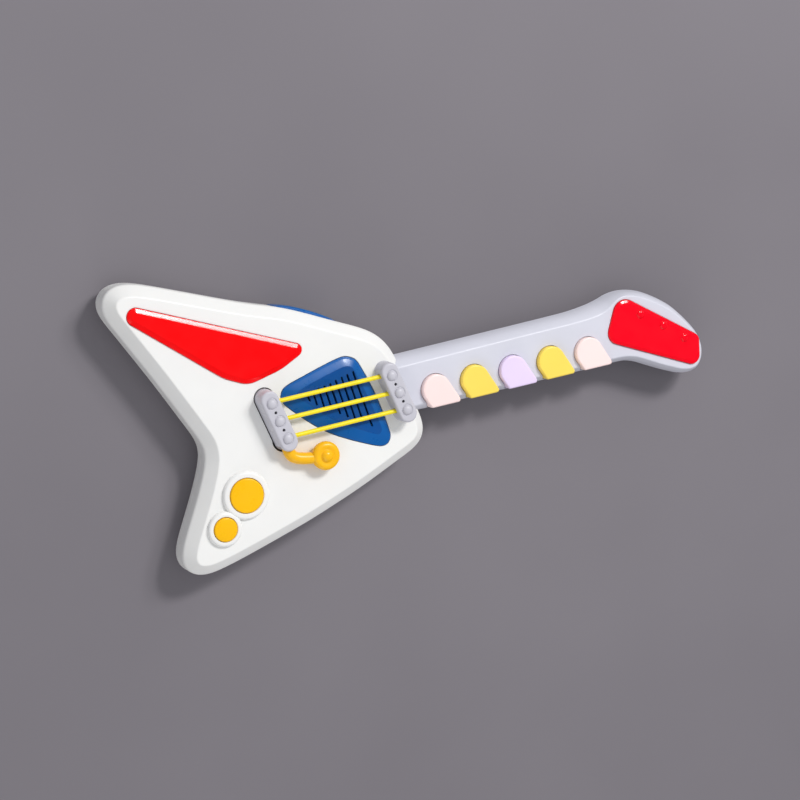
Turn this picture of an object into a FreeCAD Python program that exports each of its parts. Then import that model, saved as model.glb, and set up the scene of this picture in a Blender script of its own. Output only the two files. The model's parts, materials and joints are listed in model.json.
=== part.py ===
import FreeCAD, Part
import math
import os

# Toy electric guitar lying on its back.
# +X runs from the body to the headstock, +Y towards the red horn panel side,
# +Z out of the front face.  The origin is on the flat back, under the
# middle string.  All lengths are in millimetres.

Vector = FreeCAD.Vector

# ------------------------------------------------------------- driving sizes
FRONT_Z = 32.0          # body front flat
PART_Z = 15.5           # seam between the body shells
NECK_FRONT_Z = 30.0     # neck front flat
NECK_PART_Z = 16.0      # seam between the neck shells
NECK_BACK_Z = 8.0       # neck back
NECK_ROOT_X = 73.0      # end of the neck tongue inside the body

STRING_Y = (12.6, 0.0, -12.6)
STRING_RADIUS = 1.5
STRING_Z = 39.0
STRING_SWING = 2.0      # sideways travel of a plucked string
STRING_GRIP = 1.1       # string length beyond each cap's outer wall

# the bridge and the nut share one long, round-ended cap outline
CAP_HALF = 15.7         # half distance between the end arcs
CAP_RADIUS = 6.6        # half width
CAP_TILT = 15.3         # degrees
CAP_BELT = [(0.0, CAP_HALF, CAP_RADIUS), (0.0, -CAP_HALF, CAP_RADIUS)]
CAP_WALL = 1.6
CAP_BASE_INSET = 1.75
CAP_SCREW_OFFSETS = (6.5, -6.5)     # along the cap from its centre
BRIDGE_CENTRE = (-19.1, 0.0)
NUT_CENTRE = (67.3, -0.3)

BRIDGE_RECESS_Z = 30.8  # floor of the recess under the bridge
SEAL_GROW = 0.95        # seal beyond the cap outline
SEAL_PIVOT_RADIUS = 8.7
SEAL_CLEARANCE = 0.1
PIVOT_POST_RADIUS = 3.0

KEY_PITCH = 29.4
KEY_X = [97.5 + KEY_PITCH * k for k in range(5)]
KEY_Y = -6.0
KEY_TOP = 33.5
KEY_GAP = 0.4
KEY_BELT = [(1.3, -0.4, 10.4), (-3.2, -10.6, 1.8), (15.6, -10.6, 1.9)]

# x, y, button radius, flange radius, bezel bore, bezel spigot, bezel rim radius
LARGE_BUTTON = (-47.6, -45.2, 11.65, 13.4, 12.0, 12.7, 16.3)
SMALL_BUTTON = (-66.0, -64.0, 8.1, 9.9, 8.45, 9.2, 12.0)
SPIGOT_CLEARANCE = 0.05

BOARD_THICKNESS = 1.6
MAIN_BOARD_Z = 7.0      # undersides of the boards
BUTTON_BOARD_Z = 17.4
KEY_BOARD_Z = 12.4
MAIN_BOARD_TOP = MAIN_BOARD_Z + BOARD_THICKNESS
BUTTON_BOARD_TOP = BUTTON_BOARD_Z + BOARD_THICKNESS
KEY_BOARD_TOP = KEY_BOARD_Z + BOARD_THICKNESS
DOME_HEIGHT = 4.0       # rubber domes
DOME_GAP = 0.06         # between a dome and the stem above it

ARM_RADIUS = 4.0        # tremolo arm
KNOB_X, KNOB_Y, KNOB_RADIUS = 9.9, -30.9, 9.75

SPEAKER_CENTRE = (33.0, -1.0)

BAY_X_MIN, BAY_X_MAX = -59.0, -2.5  # inside of the battery bay
BAY_Y_MIN, BAY_Y_MAX = 10.0, 56.0
CELL_RADIUS = 7.1                   # AA cell
CELL_LENGTH = 48.5
CELL_X = -53.0                      # flat end of the cells
CELL_Y = (18.0, 33.0, 48.0)
CELL_Z = 10.0
DOOR_SCREW_X, DOOR_SCREW_Y = BAY_X_MAX + 5.5, 33.0
DOOR_TABS = [(16.0, 22.0), (44.0, 50.0)]    # y range of each

SWITCH_X, SWITCH_Y = 20.0, -40.0

# x, y
BODY_SCREWS = [(-97.0, 82.0), (-20.0, 65.4), (53.6, 32.4), (72.0, -34.0),
               (-5.0, -61.0), (-84.0, -79.0), (-54.0, -13.0)]
NECK_SCREWS = [(112.0, 9.5), (171.0, 9.5), (224.0, 8.0), (262.0, 12.0), (294.0, -22.0)]
HORN_PEGS = [(0.0, 43.0), (-33.0, 40.0), (-80.0, 70.0)]
HEAD_PEGS = [(246.0, 8.0), (290.0, -10.0)]
HEAD_STUDS = [(260.3, 11.0), (277.0, -0.5), (292.3, -12.8)]
MAIN_BOARD_POSTS = [(12.0, -20.0), (58.0, -20.0), (12.0, 18.0), (58.0, 18.0)]
BUTTON_BOARD_POSTS = [(-71.5, -72.0), (-37.5, -35.5), (-71.5, -51.0), (-40.0, -70.0)]
KEY_BOARD_POSTS = [(92.0, -11.0), (92.0, 1.5), (141.6, -11.0), (141.6, 1.5),
                   (200.4, -11.0), (200.4, 1.5), (231.0, -8.0)]

# widest section of the body, counter-clockwise: x, y
BODY_POINTS = [
    (77.0, 17.0), (75.4, 23.0), (72.4, 29.6), (68.0, 35.8), (61.0, 42.0), (50.0, 47.8),
    (36.0, 54.4), (20.0, 62.4), (3.0, 70.2), (-8.0, 74.0), (-20.0, 77.9), (-30.5, 81.8),
    (-45.0, 87.6), (-60.0, 93.6), (-75.0, 99.6), (-88.0, 104.6), (-98.0, 107.6), (-107.0, 108.4),
    (-114.5, 105.4), (-118.6, 98.6), (-118.4, 91.0), (-115.0, 84.6), (-110.4, 76.2),
    (-105.8, 67.6), (-99.5, 55.8), (-92.3, 42.3), (-82.6, 23.0), (-73.2, 4.0), (-69.0, -4.6),
    (-66.6, -10.2), (-68.4, -18.4), (-72.4, -28.4), (-77.2, -38.9), (-85.3, -54.3),
    (-93.0, -69.0), (-96.4, -77.6), (-96.0, -85.4), (-90.6, -91.4), (-82.0, -93.6),
    (-70.0, -92.0), (-50.0, -87.4), (-28.0, -81.6), (-5.4, -75.4), (12.6, -69.6), (32.6, -62.8),
    (52.6, -55.0), (68.0, -48.6), (78.2, -44.6), (85.2, -40.2), (88.6, -33.6), (88.4, -27.0),
    (85.6, -16.0), (81.4, 0.0)]

# neck and headstock: x, y of the widest section, then of the front flat
NECK_POINTS = [
    (50, -20.0, 50, -14.0), (66, -20.1, 66, -14.2), (90, -20.3, 90, -14.4),
    (130, -20.5, 130, -14.8), (170, -20.8, 170, -15.3), (205, -21.0, 205, -15.7),
    (226, -21.0, 225, -15.8), (239, -20.9, 237, -15.6), (249, -21.4, 246, -16.2),
    (257.5, -24.0, 254.5, -18.6), (266, -28.3, 263.5, -23.1), (276, -33.3, 273.5, -28.2),
    (285.5, -37.6, 283.5, -32.8), (291.5, -39.7, 289.3, -35.0), (298, -40.3, 295.5, -35.8),
    (304, -37.8, 300.3, -34.4), (308.2, -32, 303.7, -30.2), (309.8, -24.5, 305.2, -24.3),
    (309, -16.8, 304.6, -18), (306.2, -9.8, 302, -11.7), (301.6, -2.9, 297.8, -5.3),
    (296.5, 3.6, 293.2, 0.4), (290, 10.8, 287.2, 6.8), (282, 17.1, 279.8, 12.7),
    (273, 22.6, 271, 18.4), (265.4, 26, 263.5, 22.4), (257.5, 28, 256.5, 25),
    (250.4, 28.5, 250.5, 25.9), (243, 27.6, 244.8, 24.4), (236, 25.5, 238.5, 20.4),
    (228, 23.8, 231, 17.2), (217.4, 22.5, 220, 15.8), (205, 21.8, 205, 15.3),
    (170, 21.4, 170, 15.0), (130, 21.1, 130, 14.5), (90, 20.8, 90, 14.0),
    (66, 20.6, 66, 13.6), (50, 20.4, 50, 13.4), (44, 12, 45, 8), (42, 0, 43.5, 0),
    (44, -12, 45, -8)]

# speaker grille: x, y of the outer rim, then of the raised plateau
GRILLE_POINTS = [
    (-11, 9.8, -1.5, 10.6), (-8, 5.6, 0.2, 9.2), (0, -2.8, 5.5, 5), (10, -12, 13, -2.6),
    (20, -19.3, 21, -9.2), (30, -25, 29, -14.6), (40, -30, 37, -19.3), (48, -33.6, 44, -23.3),
    (53, -35.2, 48.5, -25.6), (57, -34.6, 51.8, -26.3), (59.8, -31, 53.8, -24.4),
    (60, -26, 53.8, -21), (58, -15, 51.8, -13), (55, -2, 49, -3), (52, 8, 46.5, 5.5),
    (48.5, 17.5, 43.4, 14.5), (45.3, 25, 41.4, 20.6), (42, 28.2, 39.5, 23.2),
    (37, 30.1, 36, 24.4), (31, 29.6, 31, 23.7), (20, 27.1, 21, 21.4), (5, 23.1, 9, 18.2),
    (-4, 20.6, 3, 16.2), (-9.3, 18.0, -0.2, 14.6), (-11.5, 14.0, -1.5, 12.6)]

# slanted grille slots: (x, y) of the +Y end, (x, y) of the -Y end
SLOTS = [((6.0, 11.0), (7.0, 7.0)), ((10.3, 12.0), (11.4, 3.3)), ((14.5, 13.5), (16.2, 0.0)),
         ((18.8, 14.0), (21.2, -2.0)), ((23.0, 14.7), (26.5, -6.2)), ((27.3, 16.0), (31.5, -9.5)),
         ((31.8, 17.0), (36.5, -13.0)), ((36.0, 18.0), (41.5, -15.0)),
         ((40.4, 19.0), (47.5, -19.5))]
SLOT_WIDTH = 1.4

# corner circles of the panels, counter-clockwise: x, y, radius
HORN_BELT = [(3.9, 42.1, 4.4), (-99.0, 86.4, 6.0), (-28.65, 63.6, 35.0), (-30.0, 44.2, 17.0),
             (-21.0, 69.7, 40.0)]
HEAD_BELT = [(296.8, -26.6, 6.3), (298.9, -16.5, 5.4), (249.6, 13.8, 9.7), (242.3, 1.6, 8.2)]

# body sections: inset from the widest outline, z
BODY_LEVELS = [(8.3, 0.0), (7.3, 0.5), (1.3, 6.6), (0.4, 8.2), (0.0, 10.4), (0.0, 22.4),
               (0.35, 24.2), (1.2, 25.6), (6.5, 30.9), (7.3, 31.55), (8.3, FRONT_Z)]
CAVITY_LEVELS = [(8.5, 2.2), (2.9, 7.8), (2.2, 10.4), (2.2, 22.4), (2.9, 24.2), (8.5, 29.8)]

# neck sections: blend (0 widest, 1 front flat), inset, z
NECK_LEVELS = [
    (0.0, 6.6, NECK_BACK_Z), (0.0, 4.0, 8.8), (0.0, 1.7, 10.4), (0.0, 0.4, 12.8),
    (0.0, 0.0, NECK_PART_Z), (0.10, 0.0, 20.0), (0.30, 0.0, 24.0), (0.57, 0.0, 27.0),
    (0.84, 0.0, 29.0), (0.99, 0.1, 29.75), (1.0, 0.5, NECK_FRONT_Z)]
NECK_VOID_LEVELS = [
    (0.0, 6.9, 10.1), (0.0, 3.9, 11.4), (0.0, 2.4, 13.4), (0.0, 2.2, NECK_PART_Z),
    (0.12, 2.3, 20.0), (0.36, 2.4, 24.0), (0.66, 2.5, 27.0), (0.8, 2.5, 27.9)]


# ------------------------------------------------------------ outline helpers
def catmull_rom(points, samples):
    """Closed Catmull-Rom curve through points, with samples points a span."""
    count = len(points)
    curve = []
    for i in range(count):
        before, start = points[i - 1], points[i]
        end, after = points[(i + 1) % count], points[(i + 2) % count]
        for k in range(samples):
            t = k / float(samples)
            curve.append(tuple(
                0.5 * (2 * b + (c - a) * t
                       + (2 * a - 5 * b + 4 * c - d) * t * t
                       + (3 * b - a - 3 * c + d) * t * t * t)
                for a, b, c, d in zip(before, start, end, after)))
    return curve


def chord_lengths(points):
    """Running length round the closed polyline, from 0 to the full length."""
    lengths = [0.0]
    for i, here in enumerate(points):
        ahead = points[(i + 1) % len(points)]
        lengths.append(lengths[-1] + math.hypot(ahead[0] - here[0], ahead[1] - here[1]))
    return lengths


def chord_params(points):
    lengths = chord_lengths(points)
    return [length / lengths[-1] for length in lengths]


def resample(points, count):
    """count points evenly spaced along the closed polyline."""
    lengths = chord_lengths(points)
    spaced, j = [], 0
    for k in range(count):
        target = lengths[-1] * k / count
        while lengths[j + 1] < target:
            j += 1
        t = (target - lengths[j]) / (lengths[j + 1] - lengths[j])
        here, ahead = points[j], points[(j + 1) % len(points)]
        spaced.append((here[0] + (ahead[0] - here[0]) * t, here[1] + (ahead[1] - here[1]) * t))
    return spaced


def soften(points, times):
    """Average each point with its neighbours."""
    count = len(points)
    for _ in range(times):
        points = [tuple(0.25 * a + 0.5 * b + 0.25 * c
                        for a, b, c in zip(points[i - 1], points[i], points[(i + 1) % count]))
                  for i in range(count)]
    return points


def inset(points, distance):
    """Move a counter-clockwise closed curve inwards."""
    moved = []
    for i, (x, y) in enumerate(points):
        behind, ahead = points[i - 1], points[(i + 1) % len(points)]
        along_x, along_y = ahead[0] - behind[0], ahead[1] - behind[1]
        length = math.hypot(along_x, along_y)
        moved.append((x - along_y / length * distance, y + along_x / length * distance))
    return moved


def outline_pair(table):
    """Both outlines of a four-column table, and the first one's parameters."""
    widest = catmull_rom([row[:2] for row in table], 2)
    flat = catmull_rom([row[2:] for row in table], 2)
    return widest, flat, chord_params(widest)


# -------------------------------------------------------------- solid helpers
def spline_wire(points, z, params):
    curve = Part.BSplineCurve()
    curve.interpolate(Points=[Vector(x, y, z) for x, y in points], PeriodicFlag=True,
                      Parameters=params)
    return Part.Wire([curve.toShape()])


def loft(wires):
    return Part.makeLoft(wires, True, True)


def prism(points, params, z_min, z_max):
    return loft([spline_wire(points, z_min, params), spline_wire(points, z_max, params)])


def polygon_face(points):
    return Part.Face(Part.makePolygon(points + [points[0]]))


def box(x_min, x_max, y_min, y_max, z_min, z_max):
    return Part.makeBox(x_max - x_min, y_max - y_min, z_max - z_min, Vector(x_min, y_min, z_min))


def cylinder(x, y, radius, z_min, z_max):
    return Part.makeCylinder(radius, z_max - z_min, Vector(x, y, z_min))


def cylinders(places, radius, z_min, z_max):
    return [cylinder(x, y, radius, z_min, z_max) for x, y in places]


def fuse_all(shape, extras):
    for extra in extras:
        shape = shape.fuse(extra)
    return shape


def cut_all(shape, tools):
    for tool in tools:
        shape = shape.cut(tool)
    return shape


def largest_solid(shape):
    return max(shape.Solids, key=lambda solid: solid.Volume)


def belt_wire(circles, z, grow=0.0):
    """Arcs and tangent lines round circles (x, y, radius) given counter-clockwise."""
    circles = [(x, y, radius + grow) for x, y, radius in circles]
    tangents = []       # start point, end point, angle of the outward normal
    for i, (xa, ya, radius_a) in enumerate(circles):
        xb, yb, radius_b = circles[(i + 1) % len(circles)]
        gap = math.hypot(xb - xa, yb - ya)
        lean = math.acos(max(-1.0, min(1.0, (radius_a - radius_b) / gap)))
        angle = math.atan2(yb - ya, xb - xa) - lean
        cosine, sine = math.cos(angle), math.sin(angle)
        tangents.append((Vector(xa + radius_a * cosine, ya + radius_a * sine, z),
                         Vector(xb + radius_b * cosine, yb + radius_b * sine, z), angle))
    edges = []
    for i, (x, y, radius) in enumerate(circles):
        arc_start, start_angle = tangents[i - 1][1:]
        line_start, line_end, end_angle = tangents[i]
        while end_angle < start_angle:
            end_angle += 2 * math.pi
        middle = 0.5 * (start_angle + end_angle)
        arc_middle = Vector(x + radius * math.cos(middle), y + radius * math.sin(middle), z)
        edges.append(Part.Arc(arc_start, arc_middle, line_start).toShape())
        edges.append(Part.LineSegment(line_start, line_end).toShape())
    return Part.Wire(edges)


def belt_prism(circles, z_min, z_max, grow=0.0):
    return Part.Face(belt_wire(circles, z_min, grow)).extrude(Vector(0, 0, z_max - z_min))


def belt_loft(circles, levels):
    """Loft of belts; each level is (grow, z)."""
    return loft([belt_wire(circles, z, grow) for grow, z in levels])


def revolve(profile, x, y):
    """Revolve a closed (radius, z) profile about the vertical line through x, y."""
    face = polygon_face([Vector(radius, 0, z) for radius, z in profile])
    solid = face.revolve(Vector(0, 0, 0), Vector(0, 0, 1), 360)
    solid.translate(Vector(x, y, 0))
    return solid


def spherical_cap(x, y, z, radius, height):
    """Cap of the given base radius and height standing on z."""
    sphere_radius = (radius * radius + height * height) / (2 * height)
    sphere = Part.makeSphere(sphere_radius, Vector(x, y, z + height - sphere_radius))
    return sphere.common(cylinder(x, y, radius + 1, z - 0.3, z + height + 1))


def tube(points, radius):
    curve = Part.BSplineCurve()
    curve.interpolate(Points=[Vector(*point) for point in points])
    path = Part.Wire([curve.toShape()])
    direction = curve.tangent(curve.FirstParameter)[0]
    profile = Part.Wire([Part.makeCircle(radius, Vector(*points[0]), direction)])
    return path.makePipeShell([profile], True, True)


def coil(x, y, z, axis, start_radius, end_radius, half_wire, turns, length):
    """Square-wire coil starting at x, y, z and growing along axis "x" or "z"."""
    steps = int(turns * 12)
    half = half_wire
    sections = []
    for k in range(steps + 1):
        t = k / float(steps)
        angle = 2 * math.pi * turns * t
        radius = start_radius + (end_radius - start_radius) * t
        corners = []
        for out, along in ((-half, -half), (half, -half), (half, half), (-half, half)):
            across = (radius + out) * math.cos(angle)
            side = (radius + out) * math.sin(angle)
            rise = length * t + along
            if axis == "x":
                corners.append(Vector(x + rise, y + across, z + side))
            else:
                corners.append(Vector(x + across, y + side, z + rise))
        sections.append(Part.makePolygon(corners + [corners[0]]))
    return loft(sections)


def screw(x, y, z_head, up, head_radius, head_height, shank_radius, length):
    """Cross-head screw whose head starts at z_head; up=+1 points the tip up."""
    z_neck = z_head + up * head_height
    z_tip = z_neck + up * length
    head = cylinder(x, y, head_radius, min(z_head, z_neck), max(z_head, z_neck))
    solid = head.fuse(cylinder(x, y, shank_radius, min(z_neck, z_tip), max(z_neck, z_tip)))
    slot_z = sorted((z_head - up * 0.1, z_head + up * 0.8))
    reach = head_radius * 0.7
    solid = solid.cut(box(x - reach, x + reach, y - 0.35, y + 0.35, *slot_z))
    return solid.cut(box(x - 0.35, x + 0.35, y - reach, y + reach, *slot_z))


def on_cap(shape, centre):
    """Move a shape from the cap's own frame to the tilted cap at centre."""
    shape.rotate(Vector(0, 0, 0), Vector(0, 0, 1), CAP_TILT)
    shape.translate(Vector(centre[0], centre[1], 0))
    return shape


def cap_point(along, centre):
    point = on_cap(Part.Vertex(0, along, 0), centre).Point
    return point.x, point.y


def cap_screw_points(centre):
    return [cap_point(along, centre) for along in CAP_SCREW_OFFSETS]


def cap_x(centre, y, side):
    """X at y of the cap's +X wall (side +1), -X wall (-1) or centre line (0)."""
    tilt = math.radians(CAP_TILT)
    return centre[0] - y * math.tan(tilt) + side * CAP_RADIUS / math.cos(tilt)


def at_key(shape, x):
    shape.translate(Vector(x, KEY_Y, 0))
    return shape


def bay_box(grow_x, grow_y, z_min, z_max):
    """Box over the battery bay, grown on each side."""
    return box(BAY_X_MIN - grow_x, BAY_X_MAX + grow_x,
               BAY_Y_MIN - grow_y, BAY_Y_MAX + grow_y, z_min, z_max)


def switch_box(x_min, x_max, half_width, z_min, z_max):
    """Box about the power switch; x is measured from the switch centre."""
    return box(SWITCH_X + x_min, SWITCH_X + x_max,
               SWITCH_Y - half_width, SWITCH_Y + half_width, z_min, z_max)


def export(name, shape):
    if isinstance(shape, list):
        shape = Part.makeCompound(shape)
    shape.exportStep("parts/%s.step" % name)


os.makedirs("parts", exist_ok=True)

# ---------------------------------------------------------------- outer forms
body = soften(resample(catmull_rom(BODY_POINTS, 6), 110), 2)
body_params = chord_params(body)
neck_widest, neck_flat, neck_params = outline_pair(NECK_POINTS)
grille_rim, grille_plateau, grille_params = outline_pair(GRILLE_POINTS)
pivot_x, pivot_y = cap_point(-CAP_HALF, BRIDGE_CENTRE)      # tremolo lever pivot


def body_loft(levels):
    return loft([spline_wire(inset(body, depth), z, body_params) for depth, z in levels])


def body_prism(depth, z_min, z_max):
    return prism(inset(body, depth), body_params, z_min, z_max)


def neck_loft(levels, x_min):
    """Neck form through the levels, cut off square at x_min."""
    wires = []
    for blend, depth, z in levels:
        mixed = [(a[0] * (1 - blend) + b[0] * blend, a[1] * (1 - blend) + b[1] * blend)
                 for a, b in zip(neck_widest, neck_flat)]
        wires.append(spline_wire(inset(mixed, depth), z, neck_params))
    return loft(wires).common(box(x_min, 400, -80, 80, 0, 60))


body_outer = body_loft(BODY_LEVELS)
body_cavity = body_loft(CAVITY_LEVELS)
neck_full = neck_loft(NECK_LEVELS, NECK_ROOT_X)
neck_void = neck_loft(NECK_VOID_LEVELS, NECK_ROOT_X + 2.0)


# ---------------------------------------------------------------- body shells
def body_shell(z_min, z_max):
    half = body_outer.common(box(-200, 400, -150, 150, z_min, z_max))
    return half.cut(body_cavity).cut(neck_full)


def body_front_shell():
    bosses = cylinders(BODY_SCREWS, 4.0, PART_Z, 30.2)
    shell = fuse_all(body_shell(PART_Z, 80), [boss.common(body_outer) for boss in bosses])
    cuts = cylinders(BODY_SCREWS, 1.5, PART_Z - 1, 26.0)
    cuts.append(prism(inset(grille_rim, -0.4), grille_params, 29.0, 33.0))
    cuts.append(belt_prism(HORN_BELT, 31.0, 33.0, 0.25))
    cuts += cylinders(HORN_PEGS, 1.6, 28.0, 32.0)
    for x, y, _, _, _, spigot, _ in (LARGE_BUTTON, SMALL_BUTTON):
        cuts.append(cylinder(x, y, spigot + SPIGOT_CLEARANCE, 28.0, 33.0))
    recess = belt_prism(CAP_BELT, BRIDGE_RECESS_Z, 33.0, SEAL_GROW + SEAL_CLEARANCE)
    cuts.append(on_cap(recess, BRIDGE_CENTRE))
    cuts.append(cylinder(pivot_x, pivot_y, SEAL_PIVOT_RADIUS + SEAL_CLEARANCE,
                         BRIDGE_RECESS_Z, 33.0))
    for centre in (BRIDGE_CENTRE, NUT_CENTRE):
        cuts += cylinders(cap_screw_points(centre), 1.6, 28.0, 33.0)
    return cut_all(shell, cuts)


def body_back_shell():
    # sealing lip inside the seam, open at the neck
    lip = body_prism(2.1, 11.0, PART_Z).fuse(body_prism(2.35, PART_Z, 17.5))
    lip = lip.cut(body_prism(3.5, 10.0, 18.0))
    lip = lip.cut(box(60, 100, -25, 25, 5, 30)).cut(neck_full)
    shell = body_shell(-10, PART_Z).fuse(lip)
    bosses = cylinders(BODY_SCREWS, 4.6, 1.0, PART_Z)
    shell = fuse_all(shell, [boss.common(body_outer) for boss in bosses])
    # battery bay, door seat and door screw boss
    shell = shell.fuse(bay_box(2.6, 2.4, 0.5, 20.8))
    shell = shell.fuse(cylinder(DOOR_SCREW_X, DOOR_SCREW_Y, 4.2, 0.5, 11.0))
    shell = shell.cut(bay_box(0, 0, 1.0, 19.0))
    shell = shell.cut(bay_box(0.6, 0.6, -1.0, 2.0))
    shell = shell.cut(box(BAY_X_MAX, BAY_X_MAX + 8.9,
                          DOOR_SCREW_Y - 4.4, DOOR_SCREW_Y + 4.4, -1.0, 2.0))
    shell = shell.cut(cylinder(DOOR_SCREW_X, DOOR_SCREW_Y, 1.8, 0.0, 9.0))
    for y_min, y_max in DOOR_TABS:
        shell = shell.cut(box(BAY_X_MIN - 3.4, BAY_X_MIN + 1.0, y_min - 0.3, y_max + 0.3,
                              2.0, 5.8))
    shell = fuse_all(shell, cylinders(MAIN_BOARD_POSTS, 2.6, 1.5, MAIN_BOARD_Z))
    shell = fuse_all(shell, cylinders(BUTTON_BOARD_POSTS, 2.6, 1.5, BUTTON_BOARD_Z))
    # power switch saddles and opening
    for y_min, y_max in ((-6.6, -4.2), (4.2, 6.6)):
        shell = shell.fuse(box(SWITCH_X - 8, SWITCH_X + 8, SWITCH_Y + y_min, SWITCH_Y + y_max,
                               1.5, 5.0))
    shell = shell.cut(switch_box(-6, 6, 2.6, -1, 3))
    for x, y in BODY_SCREWS:
        shell = shell.cut(cylinder(x, y, 3.2, -1.0, 8.0))
        shell = shell.cut(cylinder(x, y, 1.6, 7.0, PART_Z + 1))
    return shell


export("body_front_shell", body_front_shell())
export("body_back_shell", body_back_shell())
export("body_screws", [screw(x, y, 6.1, 1, head_radius=2.7, head_height=1.9,
                             shank_radius=1.45, length=15.5) for x, y in BODY_SCREWS])


# ------------------------------------------------- blue trim on the +Y side
def nearest_body_index(x, y):
    return min(range(len(body)), key=lambda i: math.hypot(body[i][0] - x, body[i][1] - y))


def side_trim():
    z_min, height = 9.5, 12.5
    first = nearest_body_index(38, 53.4)
    last = nearest_body_index(-3, 72.4)
    inner = [Vector(x, y, z_min) for x, y in inset(body, 0.8)[first:last + 1]]
    spans = last - first
    outer = []
    for k in range(spans + 1):
        bulge = 2.3 * math.sin(math.pi * k / spans) ** 0.55
        x, y = inset(body, -bulge)[first + k]
        outer.append(Vector(x, y, z_min))
    curve = Part.BSplineCurve()
    curve.interpolate(Points=outer)
    # back along the inner points to the start of the curve
    corners = [outer[-1]] + inner[::-1] + [outer[0]]
    lines = [Part.LineSegment(a, b).toShape() for a, b in zip(corners, corners[1:])]
    face = Part.Face(Part.Wire([curve.toShape()] + lines))
    return largest_solid(face.extrude(Vector(0, 0, height)).cut(body_outer))


export("side_trim", side_trim())

# -------------------------------------------------------------- red horn panel
horn = belt_loft(HORN_BELT, [(0.0, 31.0), (0.0, 32.5), (-0.4, 32.95), (-3.5, 34.0)])
export("horn_panel", fuse_all(horn, cylinders(HORN_PEGS, 1.5, 28.6, 31.2)))


# --------------------------------------------------------- grille and speaker
def speaker_grille():
    grille = prism(inset(grille_rim, -2.2), grille_params, 27.9, 29.75)
    grille = grille.fuse(loft([spline_wire(grille_rim, 28.5, grille_params),
                               spline_wire(grille_rim, 32.4, grille_params),
                               spline_wire(grille_plateau, 34.8, grille_params)]))
    grille = grille.cut(prism(inset(grille_plateau, -1.4), grille_params, 27.0, 32.8))
    for (xa, ya), (xb, yb) in SLOTS:
        length = math.hypot(xb - xa, yb - ya)
        slot = belt_prism([(length, 0, SLOT_WIDTH / 2), (0, 0, SLOT_WIDTH / 2)], 30.0, 36.0)
        slot.rotate(Vector(0, 0, 0), Vector(0, 0, 1), math.degrees(math.atan2(yb - ya, xb - xa)))
        slot.translate(Vector(xa, ya, 0))
        grille = grille.cut(slot)
    return grille


export("speaker_grille", speaker_grille())

# (radius, z) profiles
SPEAKER_PROFILES = {
    "speaker_basket": [
        (15.9, 27.85), (20.0, 27.85), (20.0, 26.4), (17.6, 26.4), (12.4, 18.2), (6.5, 18.2),
        (6.5, 19.2), (11.8, 19.2), (15.9, 26.0)],
    "speaker_cone": [
        (0.0, 22.6), (2.6, 22.2), (4.6, 20.6), (4.9, 20.6), (15.4, 26.6), (15.85, 26.6),
        (15.85, 26.2), (15.2, 26.2), (5.2, 19.9), (5.2, 19.3), (4.4, 19.3), (4.4, 20.2),
        (2.4, 21.7), (0.0, 22.1)],
    "speaker_magnet": [
        (0.0, 12.4), (10.6, 12.4), (11.0, 12.8), (11.0, 17.8), (10.6, 18.15), (5.6, 18.15),
        (5.6, 14.0), (4.0, 14.0), (4.0, 19.2), (0.0, 19.2)]}
for name, profile in SPEAKER_PROFILES.items():
    export(name, revolve(profile, *SPEAKER_CENTRE))


# ---------------------------------------------------- buttons and their bezel
def bezel_ring(x, y, _radius, _flange, bore, spigot, rim):
    return revolve([(bore, 29.0), (spigot, 29.0), (spigot, FRONT_Z), (rim, FRONT_Z),
                    (rim - 0.25, 33.1), (rim - 1.0, 34.2), (rim - 2.0, 34.85),
                    (rim - 3.1, 35.0), (bore + 0.5, 34.8), (bore, 34.4)], x, y)


def button(x, y, radius, flange, *_bezel):
    stem_z = BUTTON_BOARD_TOP + DOME_HEIGHT + DOME_GAP
    return revolve([(0.0, 36.0), (radius - 0.9, 35.95), (radius - 0.25, 35.65), (radius, 35.0),
                    (radius, 28.8), (flange, 28.8), (flange, 27.4), (radius - 2.0, 27.4),
                    (radius - 2.0, 33.6), (2.8, 33.6), (2.8, stem_z), (0.0, stem_z)], x, y)


def rubber_dome(x, y, z, radius):
    top = z + DOME_HEIGHT
    return revolve([(0.0, z), (radius, z), (radius, z + 0.5), (radius * 0.62, top - 0.7),
                    (radius * 0.55, top), (0.0, top)], x, y)


export("button_bezel", bezel_ring(*LARGE_BUTTON).fuse(bezel_ring(*SMALL_BUTTON)))
for name, sizes in (("large_button", LARGE_BUTTON), ("small_button", SMALL_BUTTON)):
    export(name, button(*sizes))
    export(name + "_dome", rubber_dome(sizes[0], sizes[1], BUTTON_BOARD_TOP, 6.0))
export("button_board", belt_prism([(-38.0, -36.0, 3.0), (-73.0, -48.0, 3.0), (-73.0, -73.0, 3.0),
                                   (-38.0, -72.0, 3.0)], BUTTON_BOARD_Z, BUTTON_BOARD_TOP))


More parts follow.
